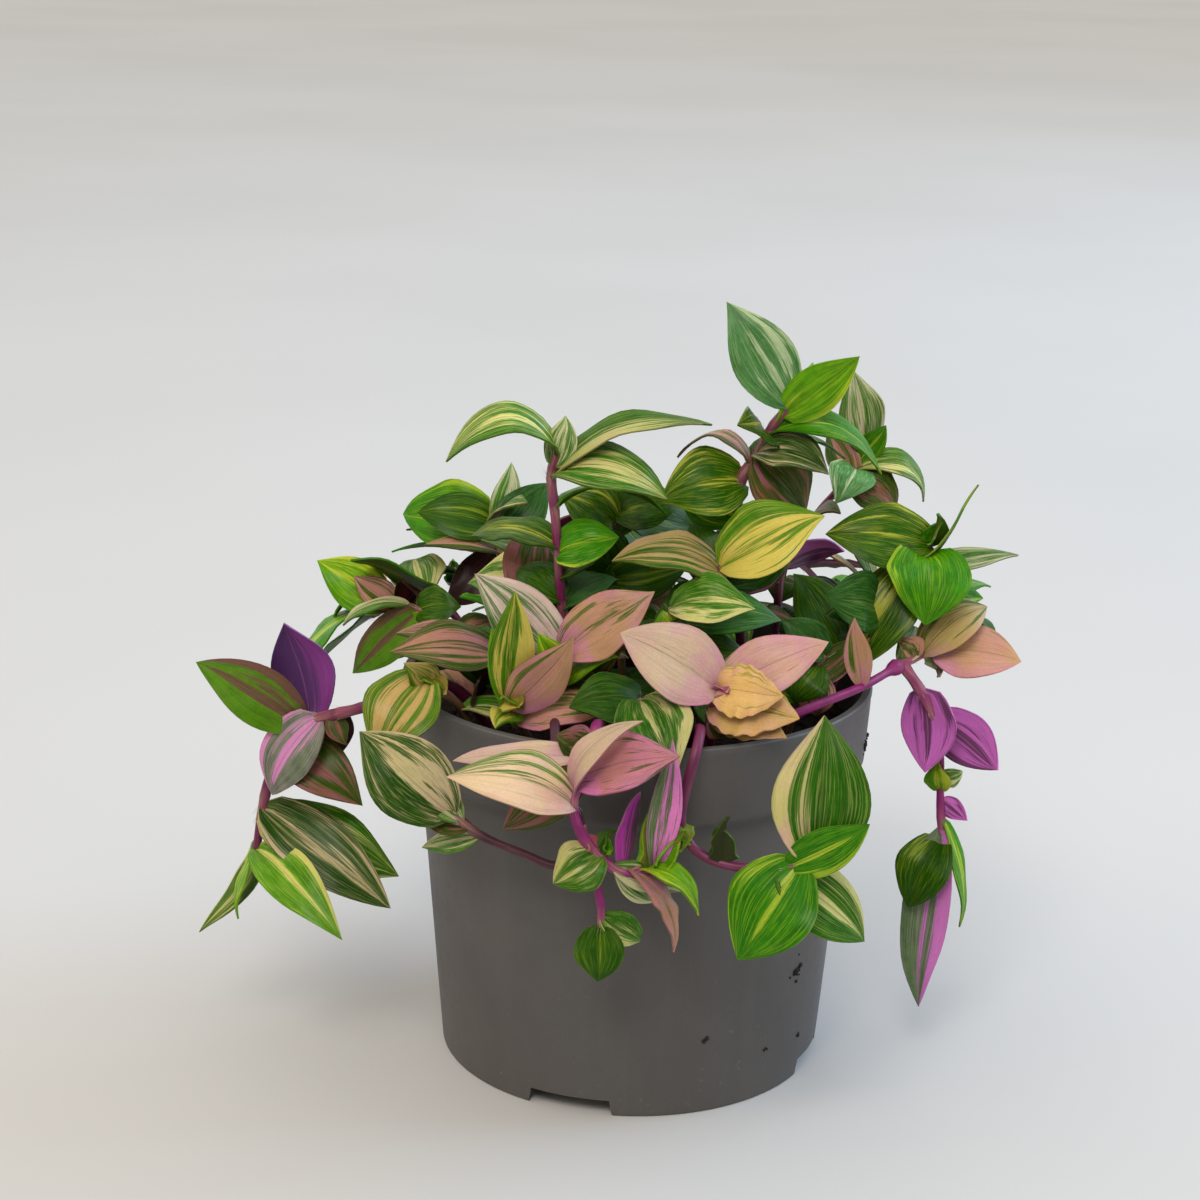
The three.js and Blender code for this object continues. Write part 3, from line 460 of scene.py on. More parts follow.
def leafLine(leaf, along):
    # the middle of the blade, the way to its side and the way that its upper face looks there
    bend = leafShape["bend"]
    forward = leaf["chord"].normalized()
    up = (leaf["face"] - forward * leaf["face"].dot(forward)).normalized()
    turn = math.pi * along ** bend
    slope = math.pi * bend * (along + 0.001) ** (bend - 1) * math.cos(turn)
    normal = (up * leaf["chord"].length - forward * (leaf["arch"] * slope)).normalized()
    middle = leaf["base"] + leaf["chord"] * along + up * (leaf["arch"] * math.sin(turn))
    return middle, forward.cross(up), normal


def solidPoint(leaf, along, across, lift):
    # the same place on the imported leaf, which is one plain folded blade
    s = leafShape
    middle, side, normal = leafLine(leaf, along)
    half = leaf["width"] / 2 * math.sin(math.pi * along ** s["roundness"])
    rise = half * (abs(across) * math.tan(math.radians(s["solidFold"])) - across ** 2 * s["droop"])
    return middle + side * (half * across) + normal * (rise + lift)


leafTurns = sorted(
    ((size, yaw, pitch, cost + abs(yaw) + abs(pitch)) for size, cost in leafShape["sizes"]
     for yaw in leafShape["turns"] for pitch in leafShape["turns"]),
    key=lambda turn: turn[3])


def turnedLeaf(leaf, size, yaw, pitch):
    chord = leaf["chord"]
    level = Vector((-chord.y, chord.x, 0))
    if level.length < 0.001:
        level = Vector((1, 0, 0))
    turn = Quaternion((0, 0, 1), math.radians(yaw)) @ Quaternion(level.normalized(), math.radians(pitch))
    return {**leaf, "chord": turn @ (chord * size), "face": turn @ leaf["face"],
            "width": leaf["width"] * size}


def packedLeaf(leaf, corners):
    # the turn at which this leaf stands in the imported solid, or nothing where the solid has no such leaf
    s = leafShape
    checks = [(along, across, side * s["solidLift"])
              for along in s["checkAlong"] for across in (0, -1, 1) for side in (1, -1)]
    for size, yaw, pitch, cost in leafTurns:
        placed = turnedLeaf(leaf, size, yaw, pitch)
        found = 0
        for number, check in enumerate(checks, 1):
            found += corners.find(solidPoint(placed, *check))[2] < s["near"]
            if number == s["firstChecks"] and found == 0:
                break
        if found >= s["enough"]:
            return placed
    return None


def addLeaf(bm, leaf, look, draw, detail=1.0, shut=0.0):
    # one blade: a flat grid bent along its middle line, folded, waved and given its thickness
    s = leafShape
    kept = set(bm.verts)
    ruffled = look in s["ruffledLooks"]
    detail = detail * s["ruffledDetail"] if ruffled else detail
    wide = max(s["fewestAcross"], round(s["across"] * detail))
    long = max(s["fewestAlong"], round(s["along"] * detail))
    made = bmesh.ops.create_grid(bm, x_segments=wide, y_segments=long, size=0.5, calc_uvs=True)["verts"]
    faces = once(face for vert in made for face in vert.link_faces)
    phase, swing = draw.random() * s["phases"], draw.uniform(-1, 1)
    droop, twist = draw.uniform(*s["droopDraw"]), draw.uniform(-1, 1)
    wave = s["wave"] * draw.uniform(*s["waveDraw"]) * min(leaf["width"] / s["waveWidth"], s["waveMost"])
    wave *= s["ruffledWave"] if ruffled else 1
    fullness = draw.uniform(*s["fullness"])
    ripples = draw.uniform(*s["ripples"]) * (s["ruffledRipples"] if ruffled else 1)

    def spot(across, along):
        # where a point of the flat grid comes to lie
        middle, side, normal = leafLine(leaf, along)
        outline = max(math.sin(math.pi * along ** s["roundness"]), 0) ** (fullness + s["tipFullness"] * along)
        half = leaf["width"] / 2 * (outline + s["baseWidth"] * (1 - along) ** s["basePower"])
        if ruffled:
            half *= 1 + s["ruffle"] * math.sin(phase + along * s["ruffleTurns"] + across * s["ruffleLean"])
        nearBase = max(0, 1 - along / s["baseFoldEnd"]) ** s["baseFoldPower"]
        fold = math.radians(s["fold"] + (s["baseFold"] - s["fold"]) * nearBase + shut * s["shutFold"])
        bent = math.sqrt(across ** 2 + s["grooveRound"]) - s["grooveDepth"]
        rise = half * (bent * math.tan(min(fold, s["mostFold"])) - across ** 2 * s["droop"] * (1 - shut))
        swell = math.sin(phase + along * ripples + (s["handShift"] if across > 0 else 0))
        rise += wave * across ** 2 * swell * math.sin(math.pi * along)
        turn = math.radians(s["twist"]) * twist * along ** 2
        tip = max(0, (along - s["tipFrom"]) / (1 - s["tipFrom"])) ** 2
        sideways = side * math.cos(turn) + normal * math.sin(turn)
        upward = normal * math.cos(turn) - side * math.sin(turn)
        reach = half * across * (1 - s["shutPinch"] * shut)
        return (middle + sideways * reach + upward * (rise + s["thickness"] / 2)
                - normal * (s["tipDrop"] * droop * tip) + side * (s["tipSwing"] * swing * tip))

    for vert in made:
        vert.co = spot(vert.co.x * 2, vert.co.y + 0.5) * mm
    uvLayer = bm.loops.layers.uv["blade"]
    tipVerts = [vert for vert in made if min(loop[uvLayer].uv.y for loop in vert.link_loops) > 0.999]
    bmesh.ops.remove_doubles(bm, verts=tipVerts, dist=touching)
    faces = [face for face in faces if face.is_valid]
    upper = {vert for vert in bm.verts if vert not in kept}
    bmesh.ops.solidify(bm, geom=faces, thickness=s["thickness"] * mm)

    main, stripe, back, cover, lean, flush, middle = leafLooks[look]
    shade = draw.uniform(*s["shadeDraw"])
    colours = {"leafMain": main, "leafStripe": stripe, "leafBack": back}
    marks = {name: [channel * shade for channel in linear(*colour)[:3]] + [1.0]
             for name, colour in colours.items()}
    marks["leafDraw"] = (cover, draw.random(), flush, 0.5 + 0.5 * lean * draw.choice(s["leanDraw"]))
    for vert in bm.verts:
        if vert in kept:
            continue
        for name, mark in marks.items():
            vert[bm.verts.layers.float_color[name]] = mark
        vert[bm.verts.layers.float["leafUnder"]] = 0.0 if vert in upper else 1.0
        vert[bm.verts.layers.float["leafMiddle"]] = middle


def newLeaves():
    bm = newMesh(("leafMain", "leafStripe", "leafBack", "leafDraw"), ("leafUnder", "leafMiddle"))
    bm.loops.layers.uv.new("blade")
    return bm


# Stems that show in front, in millimetres. Each leaf: the point of the route that it grows from, its tip from
# there, its width, the way that its face looks, the height of its arch, and its look.
shownStems = {
    "stem_tall_right": {
        "thickness": 2.9, "root": (28, -2), "stalk": "plum",
        "route": [
            (26, -4, 110), (24, -7, 130), (24, -8, 143), (24, -8, 152), (28, -8, 159), (32, -8, 167),
            (36, -8, 172),
        ],
        "leaves": [
            (6, (-16, 3, 25), 16, (0, -1, 0.1), 3, "greySheen"),
            (6, (9, -4, 19), 12, (-0.3, -1, 0.1), 1, "lime"),
            (6, (3, 2, 12), 7, (0.6, -1, 0), 1, "lime"),
            (6, (25, 1, -9), 12, (0, -0.4, 1), 8, "fresh"),
            (6, (-13, -10, -3), 13, (0.1, -0.7, 1), 3, "fine"),
            (6, (9, -9, -10), 13, (0.3, -0.8, 0.9), 5, "bold"),
            (6, (16, 8, -9), 13, (0, 0, 1), 6, "deep"),
            (4, (17, 5, -9), 17, (0.1, -1, 0.4), 3, "brown"),
            (4, (-20, 6, -2), 10, (0, 0, 1), 7, "rosy"),
            (3, (-20, -5, -3), 20, (-0.2, -1, 0.8), 4, "fine"),
            (1, (16, 6, 6), 16, (0, -0.6, 1), 4, "deep"),
            (2, (-15, 5, 7), 14, (0, -1, 0.4), 2, "fresh"),
        ],
    },
    "stem_front_middle": {
        "thickness": 2.8, "root": (18, -36), "stalk": "rose",
        "route": [(18, -39, 98), (18, -42, 104), (19, -46, 111)],
        "leaves": [
            (2, (-23, -4, 15), 19, (0.1, -1, 0.7), 2, "blush"),
            (2, (26, 2, 12), 15, (0, -1, 0.9), 3, "pink"),
            (2, (19, -9, -4), 16, (0, -1, 0.9), 2, "crinkled"),
            (1, (6, 1, -6), 10, (0, -1, 0.3), 1, "brown"),
            (2, (15, -9, 1), 10, (0, -0.9, 1), 1, "crinkled"),
        ],
        "added": [(2, (15, -9, 1), 13, (0.1, -1, 0.5), 2, "crinkled")],
        "buds": [(2, (3, -5, 1), 4, "pink")],
    },
    "stem_front_trailing": {
        "thickness": 3, "root": (-8, -44), "stalk": "magenta",
        "route": [
            (-8, -48, 100), (-9, -55, 104.5), (-10, -63, 102), (-13, -69, 95), (-14, -71, 90),
            (-12, -72, 84), (-8, -71, 78), (-2, -71, 74), (5, -71, 75),
        ],
        "branches": [
            {"from": 6, "thickness": 2.2, "route": [(-8, -73, 72), (-7, -73, 66), (-7, -72, 61)]},
        ],
        "leaves": [
            (4, (-29, -3, 8), 16, (0, -0.8, 1), 6, "sunset"),
            (4, (15, -2, 23), 8, (-0.8, -0.6, 0.4), 6, "blush"),
            (4, (24, -6, 15), 16, (-0.1, -0.8, 1), 3, "rose"),
            (4, (-16, 4, -8), 12, (0, -1, 0.3), 1, "dusk"),
            (4, (-28, 3, 10), 8, (0, -0.6, 1), 1, "blush"),
            (4, (-5, 6, 13), 9, (0, -1, 0.2), 1, "brown"),
            (6, (-10, -4, -6), 13, (-0.2, -1, 0.5), 2, "striped"),
            (7, (3, 2, 20), 6, (-0.8, 1, 0), 1, "mauve"),
            (7, (14, 3, -5), 7, (0, -1, 0.4), 1, "pale"),
            (8, (4, 3, 31), 8, (0.3, -1, 0), 1, "mauve"),
            (8, (11, -4, -9), 8, (0.6, -0.5, 1), 5, "lime"),
            (8, (7, -2, -18), 7, (1, -0.3, 0.5), 4, "withered"),
            (8, (4, 2, -11), 8, (0, -1, 0.2), 1, "pale"),
            (11, (0, -3, -13), 12, (-0.2, -1, 0.1), 1, "deep"),
            (11, (3, 1, -11), 8, (0.4, -1, 0.1), 1, "striped"),
        ],
        "buds": [
            (6, (-4, 3, 6), 5, "peach"), (6, (3, 3, 6), 4, "fresh"), (8, (-1, 4, 14), 5, "lime"),
            (8, (7, 1, 10), 5, "lime"),
        ],
    },
    "stem_front_right": {
        "thickness": 2.9, "root": (13, -43), "stalk": "plum",
        "route": [
            (14, -50, 101), (15, -57, 104.5), (14, -63, 101), (12, -65, 93), (11, -66, 85),
            (14, -67, 79), (21, -69, 76), (31, -71, 76), (42, -71, 78),
        ],
        "leaves": [
            (8, (2, 8, 33), 23, (0, -1, 0.3), 3, "margined"),
            (8, (-17, -6, -23), 22, (-0.3, -1, 0.6), 3, "fresh"),
            (8, (12, -5, 11), 11, (0.2, -1, 0.3), 2, "fresh"),
            (8, (11, 4, -24), 16, (0.5, -1, 0.3), 3, "edged"),
        ],
        "buds": [(6, (0, 2, 11), 5, "deep"), (4, (1, -3, -6), 4, "lime")],
    },
    "stem_front_left_low": {
        "thickness": 2.6, "root": (-18, -42), "stalk": "maroon",
        "route": [
            (-19, -48, 101), (-19, -56, 104.5), (-18, -63, 100), (-14, -65, 89), (-12, -65, 80),
            (-17, -65, 73), (-26, -63, 75), (-36, -60, 78), (-43, -57, 82),
        ],
        "leaves": [
            (8, (-22, 5, 19), 20, (-0.3, -1, 0.5), 4, "bold"),
            (8, (-12, 3, 17), 10, (0.5, -1, 0.3), 1, "pale"),
            (8, (-7, 2, -3), 6, (0, -0.6, 1), 0, "brown"),
            (8, (-9, 9, -7), 6, (0, -1, 0.3), 1, "pale"),
        ],
    },
    "stem_rim_left": {
        "thickness": 2.4, "root": (-40, -28), "stalk": "olive",
        "route": [(-44, -31, 101), (-51, -36, 108)],
        "leaves": [
            (1, (-11, -14, -15), 19, (-0.2, -1, 0.7), 4, "gold"),
            (1, (-4, -5, 6), 8, (0, -1, 0.4), 1, "gold"),
            (1, (-13, -4, -1), 9, (0, -0.6, 1), 2, "fresh"),
        ],
        "buds": [(1, (6, -5, -1), 5, "gold")],
    },
    "stem_front_pale": {
        "thickness": 2.8, "root": (-17, -28), "stalk": "rose",
        "route": [(-18, -31, 99), (-18, -35, 107), (-18, -38, 116)],
        "leaves": [
            (2, (22, 0, 16), 16, (-0.2, -1, 0.8), 2, "peach"),
            (2, (-18, 2, 22), 16, (0.2, -1, 0.6), 2, "candy"),
            (2, (-6, -4, 6), 8, (0, -0.8, 0.6), 1, "lime"),
            (2, (13, -3, 2), 8, (0, -0.6, 1), 2, "lime"),
            (1, (12, -2, -1), 10, (0.4, -1, 0.3), 1, "brown"),
            (1, (15, 3, 10), 7, (0.3, -1, 0.2), 1, "brown"),
        ],
    },
    "stem_front_upright": {
        "thickness": 2.4, "root": (-26, -34), "stalk": "olive",
        "route": [(-28, -37, 98), (-31, -42, 106)],
        "leaves": [
            (1, (2, -1, 27), 11, (0.2, -1, 0), 1, "yellow"),
            (1, (9, 1, 21), 13, (0.3, -1, 0), 2, "peach"),
            (1, (-3, -6, -6), 8, (-0.3, -1, 0.8), 1, "yellow"),
            (1, (22, -9, -2), 12, (0, -0.8, 1), 3, "rosy"),
            (1, (-4, 6, 20), 9, (-0.2, -1, 0), 1, "lime"),
        ],
        "buds": [(1, (4, -5, -1), 5, "yellow")],
    },
    "stem_middle_yellow": {
        "thickness": 2.8, "root": (14, -10), "stalk": "olive",
        "route": [(18, -14, 113), (20, -18, 124), (20, -20, 134)],
        "leaves": [
            (2, (24, -2, 15), 20, (-0.1, -1, 0.9), 3, "yellow"),
            (2, (-27, -8, 4), 16, (0, -0.5, 1), 5, "cream"),
            (2, (-8, 8, 9), 12, (0, -1, 0.6), 2, "deep"),
            (1, (-16, -6, -3), 13, (0, -0.7, 1), 3, "deep"),
        ],
    },
    "stem_middle_striped": {
        "thickness": 2.4, "root": (6, -22), "stalk": "olive",
        "route": [(7, -25, 105), (8, -28, 117), (8, -30, 126)],
        "leaves": [
            (2, (20, -5, 2), 14, (0, -0.9, 1), 4, "striped"),
            (2, (27, 4, -3), 14, (0, -0.8, 1), 3, "blue"),
            (1, (-3, -3, 8), 9, (0, -1, 0.3), 1, "lime"),
            (1, (-10, -1, 6), 10, (0, -0.8, 0.8), 2, "deep"),
            (1, (20, 2, -4), 14, (0, -1, 0.6), 3, "deep"),
        ],
    },
    "stem_front_dark": {
        "thickness": 2.6, "root": (1, -33), "stalk": "plum",
        "route": [(1, -36, 99), (1, -40, 104), (1, -45, 107)],
        "leaves": [
            (2, (11, -21, -8), 19, (0.2, -1, 0.9), 4, "edged"),
            (2, (-15, -6, -9), 15, (-0.2, -1, 0.8), 3, "deep"),
            (0, (-11, -12, -4), 9, (0, -0.8, 1), 2, "brown"),
            (0, (2, -14, -3), 9, (0, -0.8, 1), 2, "brown"),
            (1, (-10, -5, 2), 10, (0, -0.8, 1), 2, "deep"),
        ],
    },
    "stem_left_trailing": {
        "thickness": 3, "root": (-38, -19), "stalk": "plum",
        "route": [
            (-46, -24, 103), (-58, -26, 102.5), (-67, -24, 97), (-76, -20, 93), (-84, -16, 89),
            (-90, -14, 84), (-93, -14, 73), (-95, -15, 63), (-96, -16, 55),
        ],
        "leaves": [
            (4, (-25, -4, 18), 15, (0.2, -1, 0.5), 2, "flushed"),
            (4, (-5, 3, 26), 17, (0.2, 1, 0), 3, "midnight"),
            (4, (-8, -6, -17), 16, (-0.5, -1, 0.4), 4, "lilac"),
            (5, (21, -13, -13), 15, (-0.2, -0.8, 0.8), 4, "dusk"),
            (7, (36, -6, -12), 19, (0.2, -1, 0.8), 3, "striped"),
            (7, (29, -12, -26), 17, (0.4, -1, 0.5), 3, "bold"),
            (8, (-6, -3, -18), 7, (-1, -0.3, 0.3), 1, "lime"),
            (8, (-21, -4, -18), 8, (0.2, -0.5, 1), -5, "striped"),
            (3, (4, -5, -6), 6, (0, -1, 0.3), 0, "brown"),
            (3, (-1, 3, -18), 9, (-0.4, 1, 0), 1, "plum"),
        ],
        "added": [(8, (25, -25, -13), 13, (0.3, -1, 0.5), 6, "grass")],
    },
    "stem_right_long": {
        "thickness": 2.7, "root": (26, -34), "stalk": "magenta",
        "route": [(32, -38, 99), (40, -37, 103), (55, -26, 106), (66, -13, 108), (74, -7, 110)],
        "branches": [
            {
                "from": 3, "thickness": 2.5,
                "route": [(71, -13, 101), (75, -12, 93), (77, -11, 84), (78, -10, 71), (79, -10, 60)],
            },
        ],
        "leaves": [
            (4, (22, -4, -1), 16, (0.1, -1, 0.9), 2, "peach"),
            (4, (17, 6, 3), 13, (0, -0.8, 1), 5, "cream"),
            (4, (-9, -4, 4), 9, (0, -1, 0.6), 1, "rosy"),
            (2, (-3, 2, 17), 7, (0, -1, 0.2), 1, "peach"),
            (4, (-3, 4, 9), 7, (0, -1, 0.4), 1, "pale"),
            (5, (2, -5, -20), 15, (0.6, 1, 0), 3, "violet"),
            (6, (16, -4, -12), 15, (0.1, 1, 0.3), 3, "violet"),
            (6, (4, -8, -9), 12, (0, 1, 0.2), 1, "plum"),
            (8, (7, -1, -5), 6, (0, 1, 0.3), 0, "violet"),
            (8, (-2, -3, 11), 7, (-0.4, -1, 0), 1, "lime"),
            (8, (5, -1, 9), 6, (0.5, -1, 0), 1, "pale"),
            (9, (-8, -6, -17), 15, (-0.6, -1, 0.3), 4, "deep"),
            (9, (-5, -4, -45), 13, (-0.5, -1, 0), 3, "orchid"),
            (9, (7, -2, -23), 7, (1, -0.5, 0.2), 2, "fresh"),
        ],
        "buds": [(4, (2, -4, -6), 4, "pale")],
    },
    "stem_right": {
        "thickness": 2.6, "root": (48, -4), "stalk": "plum",
        "route": [(52, -6, 108), (60, -6, 120), (66, -4, 128), (73, 0, 135)],
        "leaves": [
            (3, (-27, -4, 4), 18, (0, -1, 0.7), 3, "fine"),
            (3, (-2, -16, -16), 22, (0.2, -1, 0.8), 5, "bright"),
            (3, (-16, -10, -32), 17, (-0.3, -1, 0.6), 4, "fine"),
            (3, (10, 3, 16), 7, (-1, 0.3, 0.4), -3, "fresh"),
            (3, (23, 8, 1), 9, (0, -0.4, 1), 2, "pale"),
            (3, (16, 6, -8), 10, (0.2, -1, 0.4), 2, "fresh"),
            (1, (-17, -3, 3), 16, (0, -1, 0.5), 3, "blue"),
        ],
        "added": [
            (0, (-12, 14, 18), 15, (0.2, -1, 0.4), 2, "deep"),
            (1, (-14, 12, -14), 14, (0.2, -1, 0.3), 2, "blue"),
        ],
        "buds": [(3, (2, -2, 9), 5, "fresh")],
    },
    "stem_left_rim": {
        "thickness": 2.4, "root": (-30, -14), "stalk": "plum",
        "route": [(-33, -18, 102), (-35, -22, 110)],
        "leaves": [
            (1, (-25, -12, 1), 15, (0, -0.9, 1), 4, "rosy"),
            (1, (-24, -4, 8), 12, (0, -0.6, 1), 3, "rosy"),
            (1, (-9, -8, -9), 11, (0, 1, 0.6), 1, "plum"),
            (1, (-10, 4, 11), 13, (0, -0.8, 0.8), 2, "deep"),
        ],
    },
    "stem_tall_middle": {
        "thickness": 2.7, "root": (-14, -12), "stalk": "rose",
        "route": [
            (-17, -16, 110), (-19, -20, 124), (-20, -20, 136), (-21, -20, 147), (-22, -20, 156),
            (-21, -20, 161),
        ],
        "leaves": [
            (5, (-27, -6, 0), 14, (0, -0.4, 1), 11, "striped"),
            (5, (3, 3, 9), 8, (0, -1, 0.2), 1, "pale"),
            (5, (38, 8, 7), 10, (0, -0.3, 1), 8, "striped"),
            (4, (29, -4, 3), 17, (0, -0.5, 1), 6, "striped"),
            (3, (28, 10, -2), 13, (0, 0.3, 1), 6, "fresh"),
            (1, (-12, 8, 6), 12, (0, -0.8, 1), 3, "deep"),
            (2, (15, -2, 5), 13, (0, -0.9, 0.8), 3, "fresh"),
        ],
    },
    "stem_back_left_striped": {
        "thickness": 2.3, "root": (-24, 2), "stalk": "plum",
        "route": [(-22, -2, 112), (-24, -4, 128), (-26, -2, 136)],
        "leaves": [
            (2, (-5, -14, -13), 13, (0, -1, 0.8), 4, "dusk"),
            (2, (13, -8, -17), 14, (0.4, -1, 0.6), 3, "deep"),
            (2, (11, 2, 6), 9, (0, 0.5, 1), 2, "blush"),
            (2, (-14, -5, -1), 8, (0, -0.3, 1), 2, "pale"),
            (0, (-12, -8, 6), 12, (0, -0.8, 1), 3, "deep"),
        ],
    },
    "stem_back_left": {
        "thickness": 2.3, "root": (-30, 14), "stalk": "olive",
        "route": [(-34, 18, 112), (-37, 25, 125), (-39, 33, 131)],
        "leaves": [
            (2, (-26, 8, -2), 19, (-0.3, -1, 0.6), 3, "bright"),
            (2, (-20, -6, 3), 14, (0, -1, 0.8), 3, "deep"),
            (2, (5, 3, 15), 9, (0.3, -1, 0), 1, "pale"),
            (2, (14, 2, 10), 13, (0, -1, 0.4), 2, "blue"),
            (2, (-17, -12, -2), 8, (0, -0.2, 1), 2, "rosy"),
            (1, (-14, -6, -15), 12, (0.5, 1, 0), 3, "plum"),
        ],
    },
    "stem_left_high": {
        "thickness": 2.2, "root": (-42, 2), "stalk": "olive",
        "route": [(-48, 8, 106), (-57, 14, 111), (-66, 22, 109)],
        "leaves": [
            (2, (-19, 3, 12), 14, (0, -1, 0.5), 2, "lime"),
            (2, (-9, -4, 9), 9, (0, -1, 0.6), 1, "rosy"),
            (2, (10, -8, 6), 11, (0, 1, 0.6), 3, "plum"),
            (2, (-12, -9, -1), 6, (0, -0.2, 1), 3, "pale"),
            (2, (-9, -6, -17), 12, (-0.4, -1, 0.2), 2, "flushed"),
            (2, (-3, -8, -14), 9, (0.3, -1, 0.3), 1, "lime"),
            (1, (10, -6, 6), 12, (0, -0.8, 0.6), 2, "deep"),
        ],
    },
    "stem_back_right": {
        "thickness": 2.3, "root": (34, 12), "stalk": "plum",
        "route": [(36, 14, 110), (37, 15, 124), (47, 28, 137), (57, 40, 144), (59, 42, 150)],
        "leaves": [
            (4, (-4, 2, 21), 13, (0.3, -1, 0.2), 2, "pale"),
            (4, (4, -3, 8), 7, (0, -1, 0.2), 0, "fresh"),
            (4, (20, 2, -6), 11, (0, -0.5, 1), 8, "striped"),
            (4, (-7, -3, 7), 10, (0.5, -1, 0.3), 1, "rosy"),
            (3, (-12, -10, -5), 13, (-0.4, -1, 1), 4, "greySheen"),
            (3, (12, -8, -3), 14, (0.3, -1, 0.8), 4, "dusk"),
            (1, (16, 5, 5), 13, (0, 1, 1), 2, "violet"),
            (1, (-14, 6, 5), 14, (0, -0.8, 1), 3, "deep"),
        ],
    },
    "stem_right_low": {
        "thickness": 2.2, "root": (38, -20), "stalk": "olive",
        "route": [(41, -21, 103), (46, -20, 112)],
        "leaves": [
            (1, (-11, -2, 10), 10, (0, -1, 0.5), 2, "blue"),
            (1, (-8, -5, -11), 12, (-0.2, -1, 0.4), 2, "deep"),
            (1, (4, -6, -11), 10, (0.2, -1, 0.4), 2, "rosy"),
            (1, (8, 3, 8), 8, (0, -1, 0.3), 1, "brown"),
            (1, (-17, -1, 0), 13, (0, -0.8, 0.8), 2, "deep"),
        ],
    },
    "stem_middle_dark": {
        "thickness": 2.4, "root": (-3, -4), "stalk": "olive",
        "route": [(-5, -4, 112), (-8, -1, 128), (-6, 3, 141)],
        "leaves": [
            (1, (-6, -4, 12), 15, (-0.1, -1, 0.3), 2, "deep"),
            (1, (14, 0, 12), 14, (0.2, -1, 0.6), 3, "deep"),
            (1, (-3, -12, -4), 14, (0, -0.8, 1), 3, "deep"),
            (1, (-16, 3, 6), 13, (0, -1, 0.4), 2, "deep"),
            (0, (12, -8, 2), 13, (0, -0.8, 1), 3, "deep"),
            (2, (16, -2, 3), 15, (0.1, -0.9, 0.8), 3, "deep"),
            (2, (-14, -4, 5), 14, (-0.1, -0.9, 0.8), 3, "fine"),
            (2, (5, 6, 12), 12, (0, -1, 0.4), 2, "deep"),
        ],
        "added": [(2, (22, 15, -8), 13, (0, -1, 0.6), 2, "deep")],
    },
}


# Stems behind and inside lean out from the middle and nod over: one rule with seeded draws makes them.
leaningStems = {
    "stem_lean_right": {"root": (38, 4), "way": 36, "reach": 46, "rise": 118, "fall": 112, "seed": 11},
    "stem_lean_back_right": {"root": (18, 17), "way": 53, "reach": 62, "rise": 122, "fall": 100, "seed": 12},
    "stem_over_back_right": {"root": (9, 28), "way": 73, "reach": 58, "rise": 112, "fall": 68, "seed": 13},
    "stem_lean_back": {"root": (3, 12), "way": 92, "reach": 50, "rise": 124, "fall": 108, "seed": 14},
    "stem_over_back_left": {"root": (-9, 26), "way": 106, "reach": 59, "rise": 112, "fall": 62, "seed": 15},
    "stem_lean_back_left": {"root": (-16, 20), "way": 127, "reach": 61, "rise": 120, "fall": 102, "seed": 16},
    "stem_lean_left": {"root": (-42, 18), "way": 156, "reach": 32, "rise": 112, "fall": 104, "seed": 17},
}

leaningShape = {
    "thickness": 2.3, "points": 5, "start": 95.5, "outPower": 1.4, "highestAt": 2 / 3, "fallFrom": 0.5,
    "pairs": 3, "spread": 62, "spreadDraw": 24, "length": 27, "lengthDraw": 9, "widthShare": 0.6,
    "tilt": -18, "tiltDraw": 34, "arch": 1, "archDraw": 4, "faceLean": 0.4, "tipLength": 24, "tipDrop": 6,
    "looks": ("deep", "deep", "striped", "bold", "fresh", "rosy", "cream", "blue"), "tipLook": "fresh",
    "bud": ((0, 0, 8), 5, "fresh"), "stalks": ("plum", "rose", "olive"),
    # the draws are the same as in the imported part
    "seedFactor": 7919, "drawFactor": 16807, "drawRange": 2147483647,
}


def leaningStem(root, way, reach, rise, fall, seed):
    s = leaningShape
    state = seed * s["seedFactor"]
    heading = math.radians(way)
    route, leaves = [], []
    looks = random.Random(seed)

    def draw():
        nonlocal state
        state = state * s["drawFactor"] % s["drawRange"]
        return state / s["drawRange"]

    for i in range(1, s["points"] + 1):
        share = i / s["points"]
        out = reach * share ** s["outPower"]
        climbed = math.sin(min(share / s["highestAt"], 1) * math.pi / 2)
        height = s["start"] + (rise - s["start"]) * climbed
        drop = (rise - fall) * max(0, (share - s["fallFrom"]) / (1 - s["fallFrom"])) ** 2
        route.append((root[0] + out * math.cos(heading), root[1] + out * math.sin(heading), height - drop))
    face = (s["faceLean"] * math.cos(heading), s["faceLean"] * math.sin(heading), 1)
    last = s["points"] - 1
    for i in range(s["pairs"]):
        for hand in (-1, 1):
            turn = heading + hand * math.radians(s["spread"] + s["spreadDraw"] * (draw() - 0.5))
            length = s["length"] + s["lengthDraw"] * (draw() - 0.5)
            tilt = math.radians(s["tilt"] + s["tiltDraw"] * draw())
            arch = s["arch"] + s["archDraw"] * draw()
            level = length * math.cos(tilt)
            tip = (level * math.cos(turn), level * math.sin(turn), length * math.sin(tilt))
            leaves.append((last - i, tip, length * s["widthShare"], face, arch, looks.choice(s["looks"])))
    tip = (s["tipLength"] * math.cos(heading), s["tipLength"] * math.sin(heading), -s["tipDrop"])
    leaves.append((last, tip, s["tipLength"] * s["widthShare"], (0, 0, 1), s["arch"], s["tipLook"]))
    return {"thickness": s["thickness"], "root": root, "stalk": looks.choice(s["stalks"]), "route": route,
            "leaves": leaves, "buds": [(last, *s["bud"])]}


stalkShape = {
    # heights that each stem passes in the soil, straight above its root
    "heights": (68, 80, 89.5, 92.5), "step": 10, "fineStep": 1.6, "spineStep": 2, "fewest": 4, "sides": 12,
    "smooth": 60, "tipShare": 0.72, "jointSwell": 0.16, "jointLength": 1.6, "jointWidth": 9,
    "sheathSwell": 0.11, "sheathLength": 6.5, "sheathEdge": 0.7,
}


